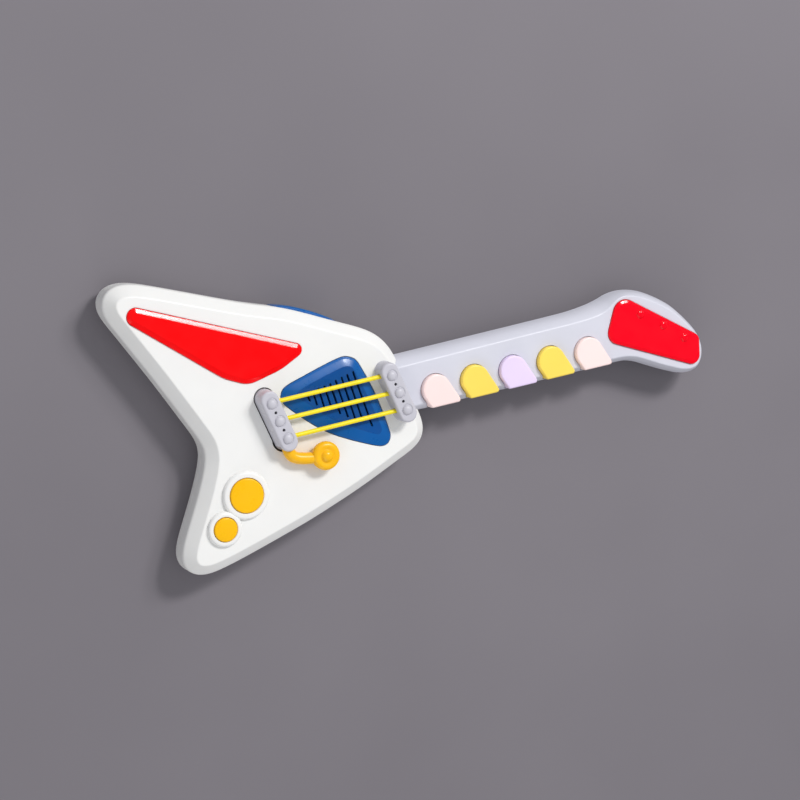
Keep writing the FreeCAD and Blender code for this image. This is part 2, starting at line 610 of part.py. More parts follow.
# -------------------------------------------------------------- bridge and nut
def cap_cover(centre, z_min, string_side):
    """Hollow cover with three studs and string slots in the string_side wall."""
    cover = belt_loft(CAP_BELT, [(0.0, z_min), (0.0, 33.0), (-0.25, 42.2), (-0.55, 43.2),
                                 (-1.1, 43.8), (-1.8, 44.0)])
    cover = cover.cut(belt_prism(CAP_BELT, z_min - 1, 42.2, -CAP_WALL))
    for y in (13.06, 0.0, -13.06):
        groove = revolve([(3.45, 43.7), (3.95, 43.7), (3.95, 44.5), (3.45, 44.5)], 0, y)
        cover = cover.cut(groove).fuse(spherical_cap(0, y, 43.7, 3.4, 2.0))
    for y in CAP_SCREW_OFFSETS:
        cover = cover.fuse(cylinder(0, y, 2.4, 34.0, 42.4))
        cover = cover.cut(cylinder(0, y, 1.3, 33.0, 40.6))
        cover = cover.cut(cylinder(0, y, 1.0, 42.6, 44.5))
    cover = on_cap(cover, centre)
    half_width = STRING_RADIUS + STRING_SWING + 0.15
    half_height = STRING_RADIUS + 0.1
    for y in STRING_Y:
        wall = cap_x(centre, y, string_side)
        slot_x = sorted((wall - string_side * 3.2, wall + string_side * 2.5))
        cover = cover.cut(box(slot_x[0], slot_x[1], y - half_width, y + half_width,
                              STRING_Z - half_height, STRING_Z + half_height))
    return cover


def bridge_cover():
    # fan-shaped mouth for the tremolo arm
    z_min, z_max = 32.1, 40.6
    start, end = math.radians(-157.0), math.radians(-25.0)
    fan = [Vector(pivot_x, pivot_y, z_min)]
    for k in range(9):
        angle = start + (end - start) * k / 8.0
        fan.append(Vector(pivot_x + 14 * math.cos(angle), pivot_y + 14 * math.sin(angle), z_min))
    mouth = polygon_face(fan).extrude(Vector(0, 0, z_max - z_min))
    return cap_cover(BRIDGE_CENTRE, BRIDGE_RECESS_Z, +1).cut(mouth)


def cap_base(centre, z_min, z_max):
    return on_cap(belt_prism(CAP_BELT, z_min, z_max, -CAP_BASE_INSET), centre)


def bridge_base():
    base = cap_base(BRIDGE_CENTRE, BRIDGE_RECESS_Z, FRONT_Z)
    base = base.fuse(cylinder(pivot_x, pivot_y, PIVOT_POST_RADIUS, 31.8, 39.3))
    base = base.cut(cylinder(pivot_x, pivot_y, 1.45, 33.4, 40.0))
    return cut_all(base, cylinders(cap_screw_points(BRIDGE_CENTRE), 1.6, 30, 34))


def bridge_seal():
    """Black foam seal round the foot of the bridge, wider round the lever pivot."""
    z_max = 31.4
    seal = on_cap(belt_prism(CAP_BELT, BRIDGE_RECESS_Z, z_max, SEAL_GROW), BRIDGE_CENTRE)
    seal = seal.fuse(cylinder(pivot_x, pivot_y, SEAL_PIVOT_RADIUS, BRIDGE_RECESS_Z, z_max))
    return seal.cut(on_cap(belt_prism(CAP_BELT, 30.0, 32.0, 0.06), BRIDGE_CENTRE))


def strum_switch(y):
    x = cap_x(NUT_CENTRE, y, 0)
    blade = box(x - 3.4, x - 2.8, y - 1.2, y + 1.2, 37.0, 40.4)
    return box(x - 4.0, x - 0.5, y - 1.6, y + 1.6, 33.4, 37.0).fuse(blade)


export("bridge_cover", bridge_cover())
export("nut_cover",
       largest_solid(cap_cover(NUT_CENTRE, 27.0, -1).cut(body_outer).cut(neck_full)))
export("bridge_base", bridge_base())
export("bridge_seal", bridge_seal())
export("nut_base", cut_all(cap_base(NUT_CENTRE, FRONT_Z, 33.4),
                           cylinders(cap_screw_points(NUT_CENTRE), 1.6, 30, 34)))
for name, centre in (("bridge_screws", BRIDGE_CENTRE), ("nut_screws", NUT_CENTRE)):
    export(name, [screw(x, y, 27.9, 1, head_radius=2.7, head_height=1.85,
                        shank_radius=1.25, length=9.5) for x, y in cap_screw_points(centre)])
export("strum_switches", [strum_switch(y) for y in STRING_Y])


# -------------------------------------------------------------- tremolo lever
def tremolo_lever():
    hub = belt_prism([(pivot_x, pivot_y, 4.5), (pivot_x + 0.5, pivot_y - 6.5, 2.4)], 35.3, 39.2)
    arm = tube([(pivot_x + 0.4, pivot_y - 4.6, 36.4), (-14.2, -23.4, 36.4), (-11.2, -27.2, 36.5),
                (-5.4, -29.4, 36.8), (3.0, -30.9, 37.5)], ARM_RADIUS)
    edge = KNOB_RADIUS
    knob = revolve([(0.0, 35.2), (edge - 2.6, 35.2), (edge - 1.3, 35.7), (edge - 0.4, 36.7),
                    (edge, 38.0), (edge, 39.2), (edge - 0.4, 40.5), (edge - 1.3, 41.6),
                    (edge - 2.6, 42.1), (5.9, 41.8), (4.7, 41.2), (3.9, 41.4), (3.6, 42.4),
                    (2.9, 43.3), (1.6, 43.85), (0.0, 44.0)], KNOB_X, KNOB_Y)
    bore = cylinder(pivot_x, pivot_y, PIVOT_POST_RADIUS + 0.06, 30, 42)
    return fuse_all(hub, [arm, knob]).cut(bore)


export("tremolo_lever", tremolo_lever())
export("tremolo_screw", screw(pivot_x, pivot_y, 40.9, -1, head_radius=3.9, head_height=1.5,
                              shank_radius=1.4, length=5.8))
export("tremolo_spring", coil(pivot_x, pivot_y, 33.4, "z", start_radius=3.75, end_radius=3.75,
                              half_wire=0.33, turns=1.3, length=1.3))

# -------------------------------------------------------------------- strings
for k, y in enumerate(STRING_Y):
    x_start = cap_x(BRIDGE_CENTRE, y, +1) - STRING_GRIP
    x_end = cap_x(NUT_CENTRE, y, -1) + STRING_GRIP
    export("string_%d" % (k + 1), Part.makeCylinder(
        STRING_RADIUS, x_end - x_start, Vector(x_start, y, STRING_Z), Vector(1, 0, 0)))


# ----------------------------------------------------------------------- neck
def neck_shell(z_min, z_max):
    return neck_full.common(box(0, 400, -80, 80, z_min, z_max)).cut(neck_void)


def neck_root_hole():
    return box(NECK_ROOT_X - 1, NECK_ROOT_X + 4, -5, 5, 13.8, 17.4)


def neck_front_shell():
    shell = fuse_all(neck_shell(NECK_PART_Z, 80), cylinders(NECK_SCREWS, 3.2, NECK_PART_Z, 28.4))
    cuts = [at_key(belt_prism(KEY_BELT, 17.0, 36.0, KEY_GAP), x) for x in KEY_X]
    cuts.append(belt_prism(HEAD_BELT, 29.0, 33.0, 0.3))
    cuts += cylinders(HEAD_PEGS, 1.6, 25.0, 31.0)
    cuts.append(neck_root_hole())
    cuts += cylinders(NECK_SCREWS, 1.4, NECK_PART_Z - 1, 25.5)
    return cut_all(shell, cuts)


def neck_back_shell():
    bosses = cylinders(NECK_SCREWS, 3.8, 9.0, NECK_PART_Z)
    shell = fuse_all(neck_shell(0, NECK_PART_Z), [boss.common(neck_full) for boss in bosses])
    shell = shell.cut(neck_root_hole())
    for x, y in NECK_SCREWS:
        shell = shell.cut(cylinder(x, y, 2.6, 0.0, 11.8))
        shell = shell.cut(cylinder(x, y, 1.5, 11.0, NECK_PART_Z + 1))
    return fuse_all(shell, cylinders(KEY_BOARD_POSTS, 1.8, 9.4, KEY_BOARD_Z))


def headstock_panel():
    panel = belt_loft(HEAD_BELT, [(0.0, 29.0), (0.0, 30.9), (-0.5, 31.4), (-2.6, 32.2)])
    panel = fuse_all(panel, [spherical_cap(x, y, 32.1, 3.1, 1.5) for x, y in HEAD_STUDS])
    return fuse_all(panel, cylinders(HEAD_PEGS, 1.5, 25.8, 29.2))


export("neck_front_shell", neck_front_shell())
export("neck_back_shell", neck_back_shell())
export("neck_screws", [screw(x, y, 10.0, 1, head_radius=2.2, head_height=1.7,
                             shank_radius=1.3, length=12.5) for x, y in NECK_SCREWS])
export("headstock_panel", headstock_panel())


# ----------------------------------------------------------------------- keys
def key(x):
    """Hollow key with a part flange on its +Y side and a stem over the dome."""
    cap = belt_loft(KEY_BELT, [(0.0, 21.0), (0.0, 31.9), (-0.35, 32.8), (-1.0, 33.35),
                               (-1.45, KEY_TOP)])
    cap = cap.cut(belt_prism(KEY_BELT, 20.0, 31.3, -1.45))
    flange = belt_prism(KEY_BELT, 26.2, 27.8, 1.3).cut(belt_prism(KEY_BELT, 26.0, 28.0, -0.7))
    cap = cap.fuse(flange.common(box(-14, 22, -1.5, 13, 20, 30)))
    cap = cap.fuse(cylinder(0, 0, 2.4, KEY_BOARD_TOP + DOME_HEIGHT + DOME_GAP, 31.6))
    return at_key(cap, x)


for k, x in enumerate(KEY_X):
    export("key_%d" % (k + 1), key(x))
    export("key_dome_%d" % (k + 1), rubber_dome(x, KEY_Y, KEY_BOARD_TOP, 4.6))
export("key_board", belt_prism([(90.0, -11.5, 2.0), (235.0, -11.5, 2.0), (235.0, 1.5, 2.0),
                                (90.0, 1.5, 2.0)], KEY_BOARD_Z, KEY_BOARD_TOP))

# ---------------------------------------------------------------- electronics
export("main_board", box(8.0, 62.0, -24.0, 22.0, MAIN_BOARD_Z, MAIN_BOARD_TOP))
chip = spherical_cap(22.0, 10.0, MAIN_BOARD_TOP, 6.5, 1.9)
chip = chip.common(box(0, 60, -20, 30, MAIN_BOARD_TOP, 12))
export("sound_chip", chip.fuse(cylinder(22.0, 10.0, 6.5, MAIN_BOARD_TOP, 8.8)))


def ribbon(centre_line, thickness, y_min, y_max):
    """Flat cable following the (x, z) centre line."""
    upper, lower = [], []
    for i, (x, z) in enumerate(centre_line):
        behind = centre_line[max(i - 1, 0)]
        ahead = centre_line[min(i + 1, len(centre_line) - 1)]
        run, rise = ahead[0] - behind[0], ahead[1] - behind[1]
        length = math.hypot(run, rise)
        shift_x, shift_z = rise / length * thickness / 2, run / length * thickness / 2
        upper.append(Vector(x - shift_x, y_min, z + shift_z))
        lower.append(Vector(x + shift_x, y_min, z - shift_z))
    return polygon_face(upper + lower[::-1]).extrude(Vector(0, y_max - y_min, 0))


export("key_cable", ribbon([(57.0, 8.96), (62.5, 8.96), (66.0, 10.2), (69.0, 13.4), (71.5, 15.2),
                            (74.5, 15.6), (84.0, 15.6), (87.2, 14.9), (89.2, 14.38),
                            (93.0, 14.36)], 0.6, -4.0, 4.0))
export("speaker_wires", [tube([(57.0, y, 8.65), (57.6, y, 14.0), (57.0, y, 20.0),
                               (54.8, y, 24.0), (51.6, y, 25.75)], 0.55) for y in (5.2, 7.4)])
export("battery_wires", [tube([(12.0, y, 8.65), (11.0, y, 12.5), (7.0, y, 15.5),
                               (0.75, y, 16.0)], 0.6) for y in (12.2, 14.6)])


# ------------------------------------------------------------------ batteries
def battery(y):
    cell = Part.makeCylinder(CELL_RADIUS, CELL_LENGTH, Vector(CELL_X, y, CELL_Z), Vector(1, 0, 0))
    nub_x = CELL_X + CELL_LENGTH - 0.1
    return cell.fuse(Part.makeCylinder(2.6, 1.4, Vector(nub_x, y, CELL_Z), Vector(1, 0, 0)))


def battery_door():
    door = bay_box(0.3, 0.3, 0.0, 1.9)
    door = door.fuse(box(BAY_X_MAX, BAY_X_MAX + 8.6, DOOR_SCREW_Y - 4.1, DOOR_SCREW_Y + 4.1,
                         0.0, 1.9))
    for y_min, y_max in DOOR_TABS:
        door = door.fuse(box(BAY_X_MIN + 0.2, BAY_X_MIN + 1.3, y_min, y_max, 1.5, 3.5))
        door = door.fuse(box(BAY_X_MIN - 2.8, BAY_X_MIN + 1.3, y_min, y_max, 2.4, 3.5))
    door = door.cut(cylinder(DOOR_SCREW_X, DOOR_SCREW_Y, 1.45, -1, 3))
    door = door.cut(cylinder(DOOR_SCREW_X, DOOR_SCREW_Y, 2.75, -1, 0.9))
    for k in range(5):      # grooves in the outside face
        door = door.cut(box(-14.0 + 2.2 * k, -13.0 + 2.2 * k, 24.0, 42.0, -1, 0.5))
    return door


export("batteries", [battery(y) for y in CELL_Y])
export("battery_springs", [coil(-58.15, y, CELL_Z, "x", start_radius=4.2, end_radius=2.4,
                                half_wire=0.35, turns=3.0, length=4.7) for y in CELL_Y])
export("battery_plates", [box(x, x + 0.4, y - 5, y + 5, 5.0, 15.5)
                          for y in CELL_Y for x in (BAY_X_MIN, BAY_X_MAX - 0.4)])
export("battery_door", battery_door())
export("battery_door_screw", screw(DOOR_SCREW_X, DOOR_SCREW_Y, 0.1, 1, head_radius=2.65,
                                   head_height=0.8, shank_radius=1.2, length=6.0))

# --------------------------------------------------------------- power switch
export("power_switch_body",
       switch_box(-8, 8, 6, 5.0, 10.0).cut(switch_box(-4.0, 4.0, 1.5, 4.0, 7.6)))
knob = switch_box(-5.6, 1.0, 2.3, 0.4, 2.6)
knob = knob.fuse(switch_box(-11.0, 7.0, 3.6, 2.3, 3.4))
knob = knob.fuse(switch_box(-3.6, -0.8, 1.2, 3.2, 7.0))
for k in range(3):      # grip grooves
    knob = knob.cut(switch_box(-4.6 + 1.8 * k, -3.8 + 1.8 * k, 3, 0.0, 0.8))
export("power_switch_knob", knob)
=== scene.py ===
"""Toy electric guitar lying on its back: the neck runs along +X and the face looks up +Z.

Shapes are given in millimetres and become metres in new_object(). Materials, lights and
the camera are in metres. The CAD pieces that aren't rebuilt here keep their own meshes.
"""
import bpy
import bmesh
import json
import math
import numpy as np
from mathutils import Matrix, Vector


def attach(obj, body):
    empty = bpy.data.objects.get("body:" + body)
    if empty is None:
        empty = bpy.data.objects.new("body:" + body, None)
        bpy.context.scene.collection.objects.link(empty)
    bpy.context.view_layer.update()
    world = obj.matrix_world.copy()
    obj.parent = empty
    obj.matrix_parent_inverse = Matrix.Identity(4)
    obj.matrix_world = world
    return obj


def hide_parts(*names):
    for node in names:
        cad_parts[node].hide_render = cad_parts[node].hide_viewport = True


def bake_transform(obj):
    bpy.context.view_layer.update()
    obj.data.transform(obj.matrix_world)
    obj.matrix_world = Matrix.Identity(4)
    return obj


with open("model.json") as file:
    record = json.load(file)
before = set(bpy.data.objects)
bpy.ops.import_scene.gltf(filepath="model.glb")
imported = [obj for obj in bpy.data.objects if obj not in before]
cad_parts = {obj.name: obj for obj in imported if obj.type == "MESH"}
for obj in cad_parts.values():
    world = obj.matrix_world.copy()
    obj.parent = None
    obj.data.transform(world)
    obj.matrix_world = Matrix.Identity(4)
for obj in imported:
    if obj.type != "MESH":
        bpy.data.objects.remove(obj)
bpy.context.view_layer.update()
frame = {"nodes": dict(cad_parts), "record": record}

from types import SimpleNamespace

MM = 0.001
ROOT = "root-body"

# ------------------------------------------------------------------ outlines
# Body outline, counter-clockwise: x, y
BODY_POINTS = [
    (77.0, 17.0), (75.4, 23.0), (72.4, 29.6), (68.0, 35.8), (61.0, 42.0), (50.0, 47.8),
    (36.0, 54.4), (20.0, 62.4), (3.0, 70.2), (-8.0, 74.0), (-20.0, 77.9), (-30.5, 81.8),
    (-45.0, 87.6), (-60.0, 93.6), (-75.0, 99.6), (-88.0, 104.6), (-98.0, 107.6),
    (-107.0, 108.4), (-114.5, 105.4), (-118.6, 98.6), (-118.4, 91.0), (-115.0, 84.6),
    (-110.4, 76.2), (-105.8, 67.6), (-99.5, 55.8), (-92.3, 42.3), (-82.6, 23.0),
    (-73.2, 4.0), (-69.0, -4.6), (-66.6, -10.2), (-68.4, -18.4), (-72.4, -28.4),
    (-77.2, -38.9), (-85.3, -54.3), (-93.0, -69.0), (-96.4, -77.6), (-96.0, -85.4),
    (-90.6, -91.4), (-82.0, -93.6), (-70.0, -92.0), (-50.0, -87.4), (-28.0, -81.6),
    (-5.4, -75.4), (12.6, -69.6), (32.6, -62.8), (52.6, -55.0), (68.0, -48.6),
    (78.2, -44.6), (85.2, -40.2), (88.6, -33.6), (88.4, -27.0), (85.6, -16.0), (81.4, 0.0)]
# Neck and headstock: x, y of the widest outline, x, y of the flat top
NECK_POINTS = np.array([
    (50, -20.0, 50, -14.0), (66, -20.1, 66, -14.2), (90, -20.3, 90, -14.4),
    (130, -20.5, 130, -14.8), (170, -20.8, 170, -15.3), (205, -21.0, 205, -15.7),
    (226, -21.0, 225, -15.8), (239, -20.9, 237, -15.6), (249, -21.4, 246, -16.2),
    (257.5, -24.0, 254.5, -18.6), (266, -28.3, 263.5, -23.1), (276, -33.3, 273.5, -28.2),
    (285.5, -37.6, 283.5, -32.8), (291.5, -39.7, 289.3, -35.0), (298, -40.3, 295.5, -35.8),
    (304, -37.8, 300.3, -34.4), (308.2, -32, 303.7, -30.2), (309.8, -24.5, 305.2, -24.3),
    (309, -16.8, 304.6, -18), (306.2, -9.8, 302, -11.7), (301.6, -2.9, 297.8, -5.3),
    (296.5, 3.6, 293.2, 0.4), (290, 10.8, 287.2, 6.8), (282, 17.1, 279.8, 12.7),
    (273, 22.6, 271, 18.4), (265.4, 26, 263.5, 22.4), (257.5, 28, 256.5, 25),
    (250.4, 28.5, 250.5, 25.9), (243, 27.6, 244.8, 24.4), (236, 25.5, 238.5, 20.4),
    (228, 23.8, 231, 17.2), (217.4, 22.5, 220, 15.8), (205, 21.8, 205, 15.3),
    (170, 21.4, 170, 15.0), (130, 21.1, 130, 14.5), (90, 20.8, 90, 14.0),
    (66, 20.6, 66, 13.6), (50, 20.4, 50, 13.4), (44, 12, 45, 8), (42, 0, 43.5, 0),
    (44, -12, 45, -8)])
# Speaker grille: x, y of the foot outline, x, y of the flat top
GRILLE_POINTS = np.array([
    (-11, 9.8, -1.5, 10.6), (-8, 5.6, 0.2, 9.2), (0, -2.8, 5.5, 5), (10, -12, 13, -2.6),
    (20, -19.3, 21, -9.2), (30, -25, 29, -14.6), (40, -30, 37, -19.3), (48, -33.6, 44, -23.3),
    (53, -35.2, 48.5, -25.6), (57, -34.6, 51.8, -26.3), (59.8, -31, 53.8, -24.4),
    (60, -26, 53.8, -21), (58, -15, 51.8, -13), (55, -2, 49, -3), (52, 8, 46.5, 5.5),
    (48.5, 17.5, 43.4, 14.5), (45.3, 25, 41.4, 20.6), (42, 28.2, 39.5, 23.2),
    (37, 30.1, 36, 24.4), (31, 29.6, 31, 23.7), (20, 27.1, 21, 21.4), (5, 23.1, 9, 18.2),
    (-4, 20.6, 3, 16.2), (-9.3, 18.0, -0.2, 14.6), (-11.5, 14.0, -1.5, 12.6)])
# Grille slots: centres of the two rounded ends
SLOTS = [
    ((6.0, 11.0), (7.0, 7.0)), ((10.3, 12.0), (11.4, 3.3)), ((14.5, 13.5), (16.2, 0.0)),
    ((18.8, 14.0), (21.2, -2.0)), ((23.0, 14.7), (26.5, -6.2)), ((27.3, 16.0), (31.5, -9.5)),
    ((31.8, 17.0), (36.5, -13.0)), ((36.0, 18.0), (41.5, -15.0)), ((40.4, 19.0), (47.5, -19.5))]
SLOT_WIDTH = 1.4
# Belts, drawn round circles given counter-clockwise: x, y, radius
HORN_BELT = [(3.9, 42.1, 4.4), (-99.0, 86.4, 6.0), (-28.65, 63.6, 35.0), (-30.0, 44.2, 17.0),
             (-21.0, 69.7, 40.0)]
HEAD_BELT = [(296.8, -26.6, 6.3), (298.9, -16.5, 5.4), (249.6, 13.8, 9.7), (242.3, 1.6, 8.2)]
KEY_BELT = [(1.3, -0.4, 10.4), (-3.2, -10.6, 1.8), (15.6, -10.6, 1.9)]

# -------------------------------------------------------------------- places
BODY_TOP = 32.0
NECK_TOP = 30.0
NECK_SPLIT = 16.0      # where the front and back neck shells meet
ROOT_X = 73.0          # body end of the neck shells

KEY_PITCH = 29.4
KEY_X = [97.5 + KEY_PITCH * i for i in range(5)]
KEY_Y = -6.0
KEY_TOP = 33.5
KEY_FOOT = 21.0

# Bridge and nut covers: capsules tilted about Z
CAP_HALF, CAP_R, CAP_TILT = 15.7, 6.6, math.radians(15.3)
CAPSULE = [(0.0, CAP_HALF, CAP_R), (0.0, -CAP_HALF, CAP_R)]
CAP_TOP = 44.0
BRIDGE_CENTRE, NUT_CENTRE = (-19.1, 0.0), (67.3, -0.3)
DOME_OFFSETS = (13.06, 0.0, -13.06)     # along the capsule
STRING_PITCH = 12.6
STRING_Y = (STRING_PITCH, 0.0, -STRING_PITCH)
STRING_Z, STRING_R = 39.0, 1.5
STRING_TUCK = 1.5                       # string length hidden in each cover wall

# Buttons: radii of the cap, its flange, the bezel's bore, rim and spigot, and the body hole
LARGE = SimpleNamespace(x=-47.6, y=-45.2, cap=11.65, flange=13.4, bore=12.0, rim=16.3,
                        spigot=12.7, hole=12.75)
SMALL = SimpleNamespace(x=-66.0, y=-64.0, cap=8.1, flange=9.9, bore=8.45, rim=12.0,
                        spigot=9.2, hole=9.25)

# The lever turns about the -Y end of the bridge cover
PIVOT_X = BRIDGE_CENTRE[0] + CAP_HALF * math.sin(CAP_TILT)
PIVOT_Y = BRIDGE_CENTRE[1] - CAP_HALF * math.cos(CAP_TILT)
KNOB_X, KNOB_Y = 9.9, -30.9


# ------------------------------------------------------------------- curves
def catmull_rom(p0, p1, p2, p3, t):
    return 0.5 * (2 * p1 + (p2 - p0) * t + (2 * p0 - 5 * p1 + 4 * p2 - p3) * t * t
                  + (3 * p1 - p0 - 3 * p2 + p3) * t ** 3)


def closed_curve(points, per_span):
    p1 = np.array(points, float)
    p0, p2, p3 = np.roll(p1, 1, 0), np.roll(p1, -1, 0), np.roll(p1, -2, 0)
    out = [catmull_rom(p0, p1, p2, p3, k / per_span) for k in range(per_span)]
    return np.stack(out, 1).reshape(-1, p1.shape[1])


def open_curve(path, per_span):
    p = np.array(path, float)
    p = np.vstack([2 * p[0] - p[1], p, 2 * p[-1] - p[-2]])
    out = []
    for i in range(1, len(p) - 2):
        for k in range(per_span):
            out.append(tuple(catmull_rom(p[i - 1], p[i], p[i + 1], p[i + 2], k / per_span)))
    out.append(tuple(p[-2]))
    return out


def resample(points, count):
    """Points at even spacing along a closed outline."""
    lengths = np.linalg.norm(np.roll(points, -1, 0) - points, axis=1)
    travelled = np.concatenate([[0], np.cumsum(lengths)])
    stops = travelled[-1] * np.arange(count) / count
    closed = np.vstack([points, points[:1]])
    return np.stack([np.interp(stops, travelled, closed[:, axis]) for axis in (0, 1)], 1)


def soften(points, times):
    for _ in range(times):
        points = 0.25 * np.roll(points, 1, 0) + 0.5 * points + 0.25 * np.roll(points, -1, 0)
    return points


def inset(points, distance):
    """Moves a counter-clockwise outline inwards; a negative distance moves it out."""
    tangent = np.roll(points, -1, 0) - np.roll(points, 1, 0)
    tangent /= np.linalg.norm(tangent, axis=1)[:, None]
    return points + np.stack([-tangent[:, 1], tangent[:, 0]], 1) * distance


def belt_tangents(circles):
    """Angle of the tangent point where each circle's belt leaves for the next circle."""
    angles = []
    for (x0, y0, r0), (x1, y1, r1) in zip(circles, circles[1:] + circles[:1]):
        d = math.hypot(x1 - x0, y1 - y0)
        lean = math.acos(max(-1, min(1, (r0 - r1) / d)))
        angles.append(math.atan2(y1 - y0, x1 - x0) - lean)
    return angles


def belt(circles, grow=0.0, arc_step=5.0, line_step=2.5):
    """Outline round circles; arc_step is in degrees. The count doesn't depend on grow."""
    def grown(amount):
        return [(x, y, max(r + amount, 0.1)) for x, y, r in circles]

    full_turn = 2 * math.pi
    base_angles = belt_tangents(grown(0.0))
    circles = grown(grow)
    angles = belt_tangents(circles)
    points = []
    for i, (x, y, r) in enumerate(circles):
        x1, y1, r1 = circles[(i + 1) % len(circles)]
        base_span = (base_angles[i] - base_angles[i - 1]) % full_turn
        steps = max(2, int(math.ceil(math.degrees(base_span) / arc_step)))
        span = (angles[i] - angles[i - 1]) % full_turn
        for k in range(steps + 1):
            a = angles[i - 1] + span * k / steps
            points.append((x + r * math.cos(a), y + r * math.sin(a)))
        a = angles[i]
        p = (x + r * math.cos(a), y + r * math.sin(a))
        q = (x1 + r1 * math.cos(a), y1 + r1 * math.sin(a))
        steps = max(1, int(math.hypot(x1 - x, y1 - y) / line_step))
        for k in range(1, steps):
            points.append((p[0] + (q[0] - p[0]) * k / steps, p[1] + (q[1] - p[1]) * k / steps))
    return np.array(points)


def fillet(path, setbacks, steps=8):
    """Rounds the corners of a 2-D path; a setback is the tangent length at its point."""
    out = []
    for i, (corner, setback) in enumerate(zip(path, setbacks)):
        if not setback:
            out.append(tuple(corner))
            continue
        corner = np.array(corner, float)
        a = np.array(path[i - 1], float) - corner
        b = np.array(path[i + 1], float) - corner
        a = corner + a / np.linalg.norm(a) * setback
        b = corner + b / np.linalg.norm(b) * setback
        # circular arc through the two tangent points
        u, w = a - corner, b - corner
        half = math.acos(max(-1, min(1, float(u @ w) / (setback * setback)))) / 2
        radius = setback * math.tan(half)
        bisector = (u + w) / np.linalg.norm(u + w)
        centre = corner + bisector * (setback / math.cos(half))
        start = math.atan2(*(a - centre)[::-1])
        end = math.atan2(*(b - centre)[::-1])
        turn = (end - start + math.pi) % (2 * math.pi) - math.pi
        for k in range(steps + 1):
            t = start + turn * k / steps
            out.append((centre[0] + radius * math.cos(t), centre[1] + radius * math.sin(t)))
    return out


# ------------------------------------------------------------------- meshes
def new_object(name, verts, faces):
    mesh = bpy.data.meshes.new(name)
    mesh.from_pydata([tuple(v) for v in np.asarray(verts, float) * MM], [], faces)
    mesh.validate()
    ob = bpy.data.objects.new(name, mesh)
    bpy.context.scene.collection.objects.link(ob)
    return ob


def recalc_normals(ob):
    bm = bmesh.new()
    bm.from_mesh(ob.data)
    bmesh.ops.recalc_face_normals(bm, faces=bm.faces)
    bm.to_mesh(ob.data)
    bm.free()
    return ob


def flat_ring(xy, z):
    return np.column_stack([xy, np.full(len(xy), z)])


def blend_ring(lower, upper, blend, distance, z):
    """Ring part way between two matching outlines, then inset."""
    return flat_ring(inset(lower * (1 - blend) + upper * blend, distance), z)


def belt_rings(circles, profile):
    """Belt rings for (inset, z) pairs."""
    return [flat_ring(belt(circles, -d), z) for d, z in profile]


def ring_quads(ring_count, n):
    faces = []
    for a in range(0, (ring_count - 1) * n, n):
        b = a + n
        for i in range(n):
            j = (i + 1) % n
            faces.append((a + i, a + j, b + j, b + i))
    return faces


def tower(name, rings):
    """Solid through rings of equal length, with n-gon caps."""
    n, last = len(rings[0]), (len(rings) - 1) * len(rings[0])
    faces = ring_quads(len(rings), n)
    faces.append(tuple(range(n - 1, -1, -1)))
    faces.append(tuple(last + i for i in range(n)))
    return new_object(name, np.vstack(rings), faces)


def shell(name, outer, inner):
    """Cup: outer rings from the open edge to the cap, inner rings likewise."""
    n = len(outer[0])
    faces = ring_quads(len(outer), n)
    faces.append(tuple((len(outer) - 1) * n + i for i in range(n)))
    first = len(outer) * n
    last = first + (len(inner) - 1) * n
    for a in range(first, last, n):
        b = a + n
        for i in range(n):
            j = (i + 1) % n
            faces.append((a + j, a + i, b + i, b + j))
    faces.append(tuple(last + i for i in range(n - 1, -1, -1)))
    for i in range(n):
        j = (i + 1) % n
        faces.append((j, i, first + i, first + j))
    return recalc_normals(new_object(name, np.vstack(outer + inner), faces))


def lathe(name, profile, x=0.0, y=0.0, steps=72):
    """Solid of revolution of (radius, z); radius 0 is a pole. Without poles it closes."""
    verts, rows, faces = [], [], []
    for r, z in profile:
        if r < 1e-6:
            rows.append([len(verts)])
            verts.append((x, y, z))
        else:
            rows.append(list(range(len(verts), len(verts) + steps)))
            for k in range(steps):
                a = 2 * math.pi * k / steps
                verts.append((x + r * math.cos(a), y + r * math.sin(a), z))
    pairs = list(zip(rows[:-1], rows[1:]))
    if len(rows[0]) > 1 and len(rows[-1]) > 1:
        pairs.append((rows[-1], rows[0]))
    for p, q in pairs:
        for k in range(steps):
            j = (k + 1) % steps
            if len(p) == 1:
                faces.append((p[0], q[j], q[k]))
            elif len(q) == 1:
                faces.append((p[k], p[j], q[0]))
            else:
                faces.append((p[k], p[j], q[j], q[k]))
    return recalc_normals(new_object(name, verts, faces))


def sweep(name, points, radii, steps):
    """Round bar along a path."""
    points = np.array(points, float)
    tangents = np.gradient(points, axis=0)
    tangents /= np.linalg.norm(tangents, axis=1)[:, None]
    rings = []
    for point, tangent, radius in zip(points, tangents, radii):
        side = np.cross(tangent, np.array([0, 0, 1.0]))
        side /= np.linalg.norm(side)
        across = np.cross(side, tangent)
        ring = []
        for k in range(steps):
            a = 2 * math.pi * k / steps
            ring.append(point + (side * math.cos(a) + across * math.sin(a)) * radius)
        rings.append(np.array(ring))
    return recalc_normals(tower(name, rings))


def boolean(ob, tools, operation="DIFFERENCE"):
    """Applies each tool in turn and deletes it."""
    for tool in tools:
        modifier = ob.modifiers.new("boolean", "BOOLEAN")
        modifier.operation = operation
        modifier.solver = "EXACT"
        modifier.object = tool
        depsgraph = bpy.context.evaluated_depsgraph_get()
        result = bpy.data.meshes.new_from_object(ob.evaluated_get(depsgraph))
        old = ob.data
        ob.modifiers.clear()
        ob.data = result
        bpy.data.meshes.remove(old)
        tool_mesh = tool.data
        bpy.data.objects.remove(tool)
        bpy.data.meshes.remove(tool_mesh)
    return ob


def place(ob, centre, turn=0.0):
    ob.data.transform(Matrix.Translation((centre[0] * MM, centre[1] * MM, 0))
                      @ Matrix.Rotation(turn, 4, "Z"))
    return ob


def prism(xy, z0, z1):
    return tower("tool", [flat_ring(xy, z0), flat_ring(xy, z1)])


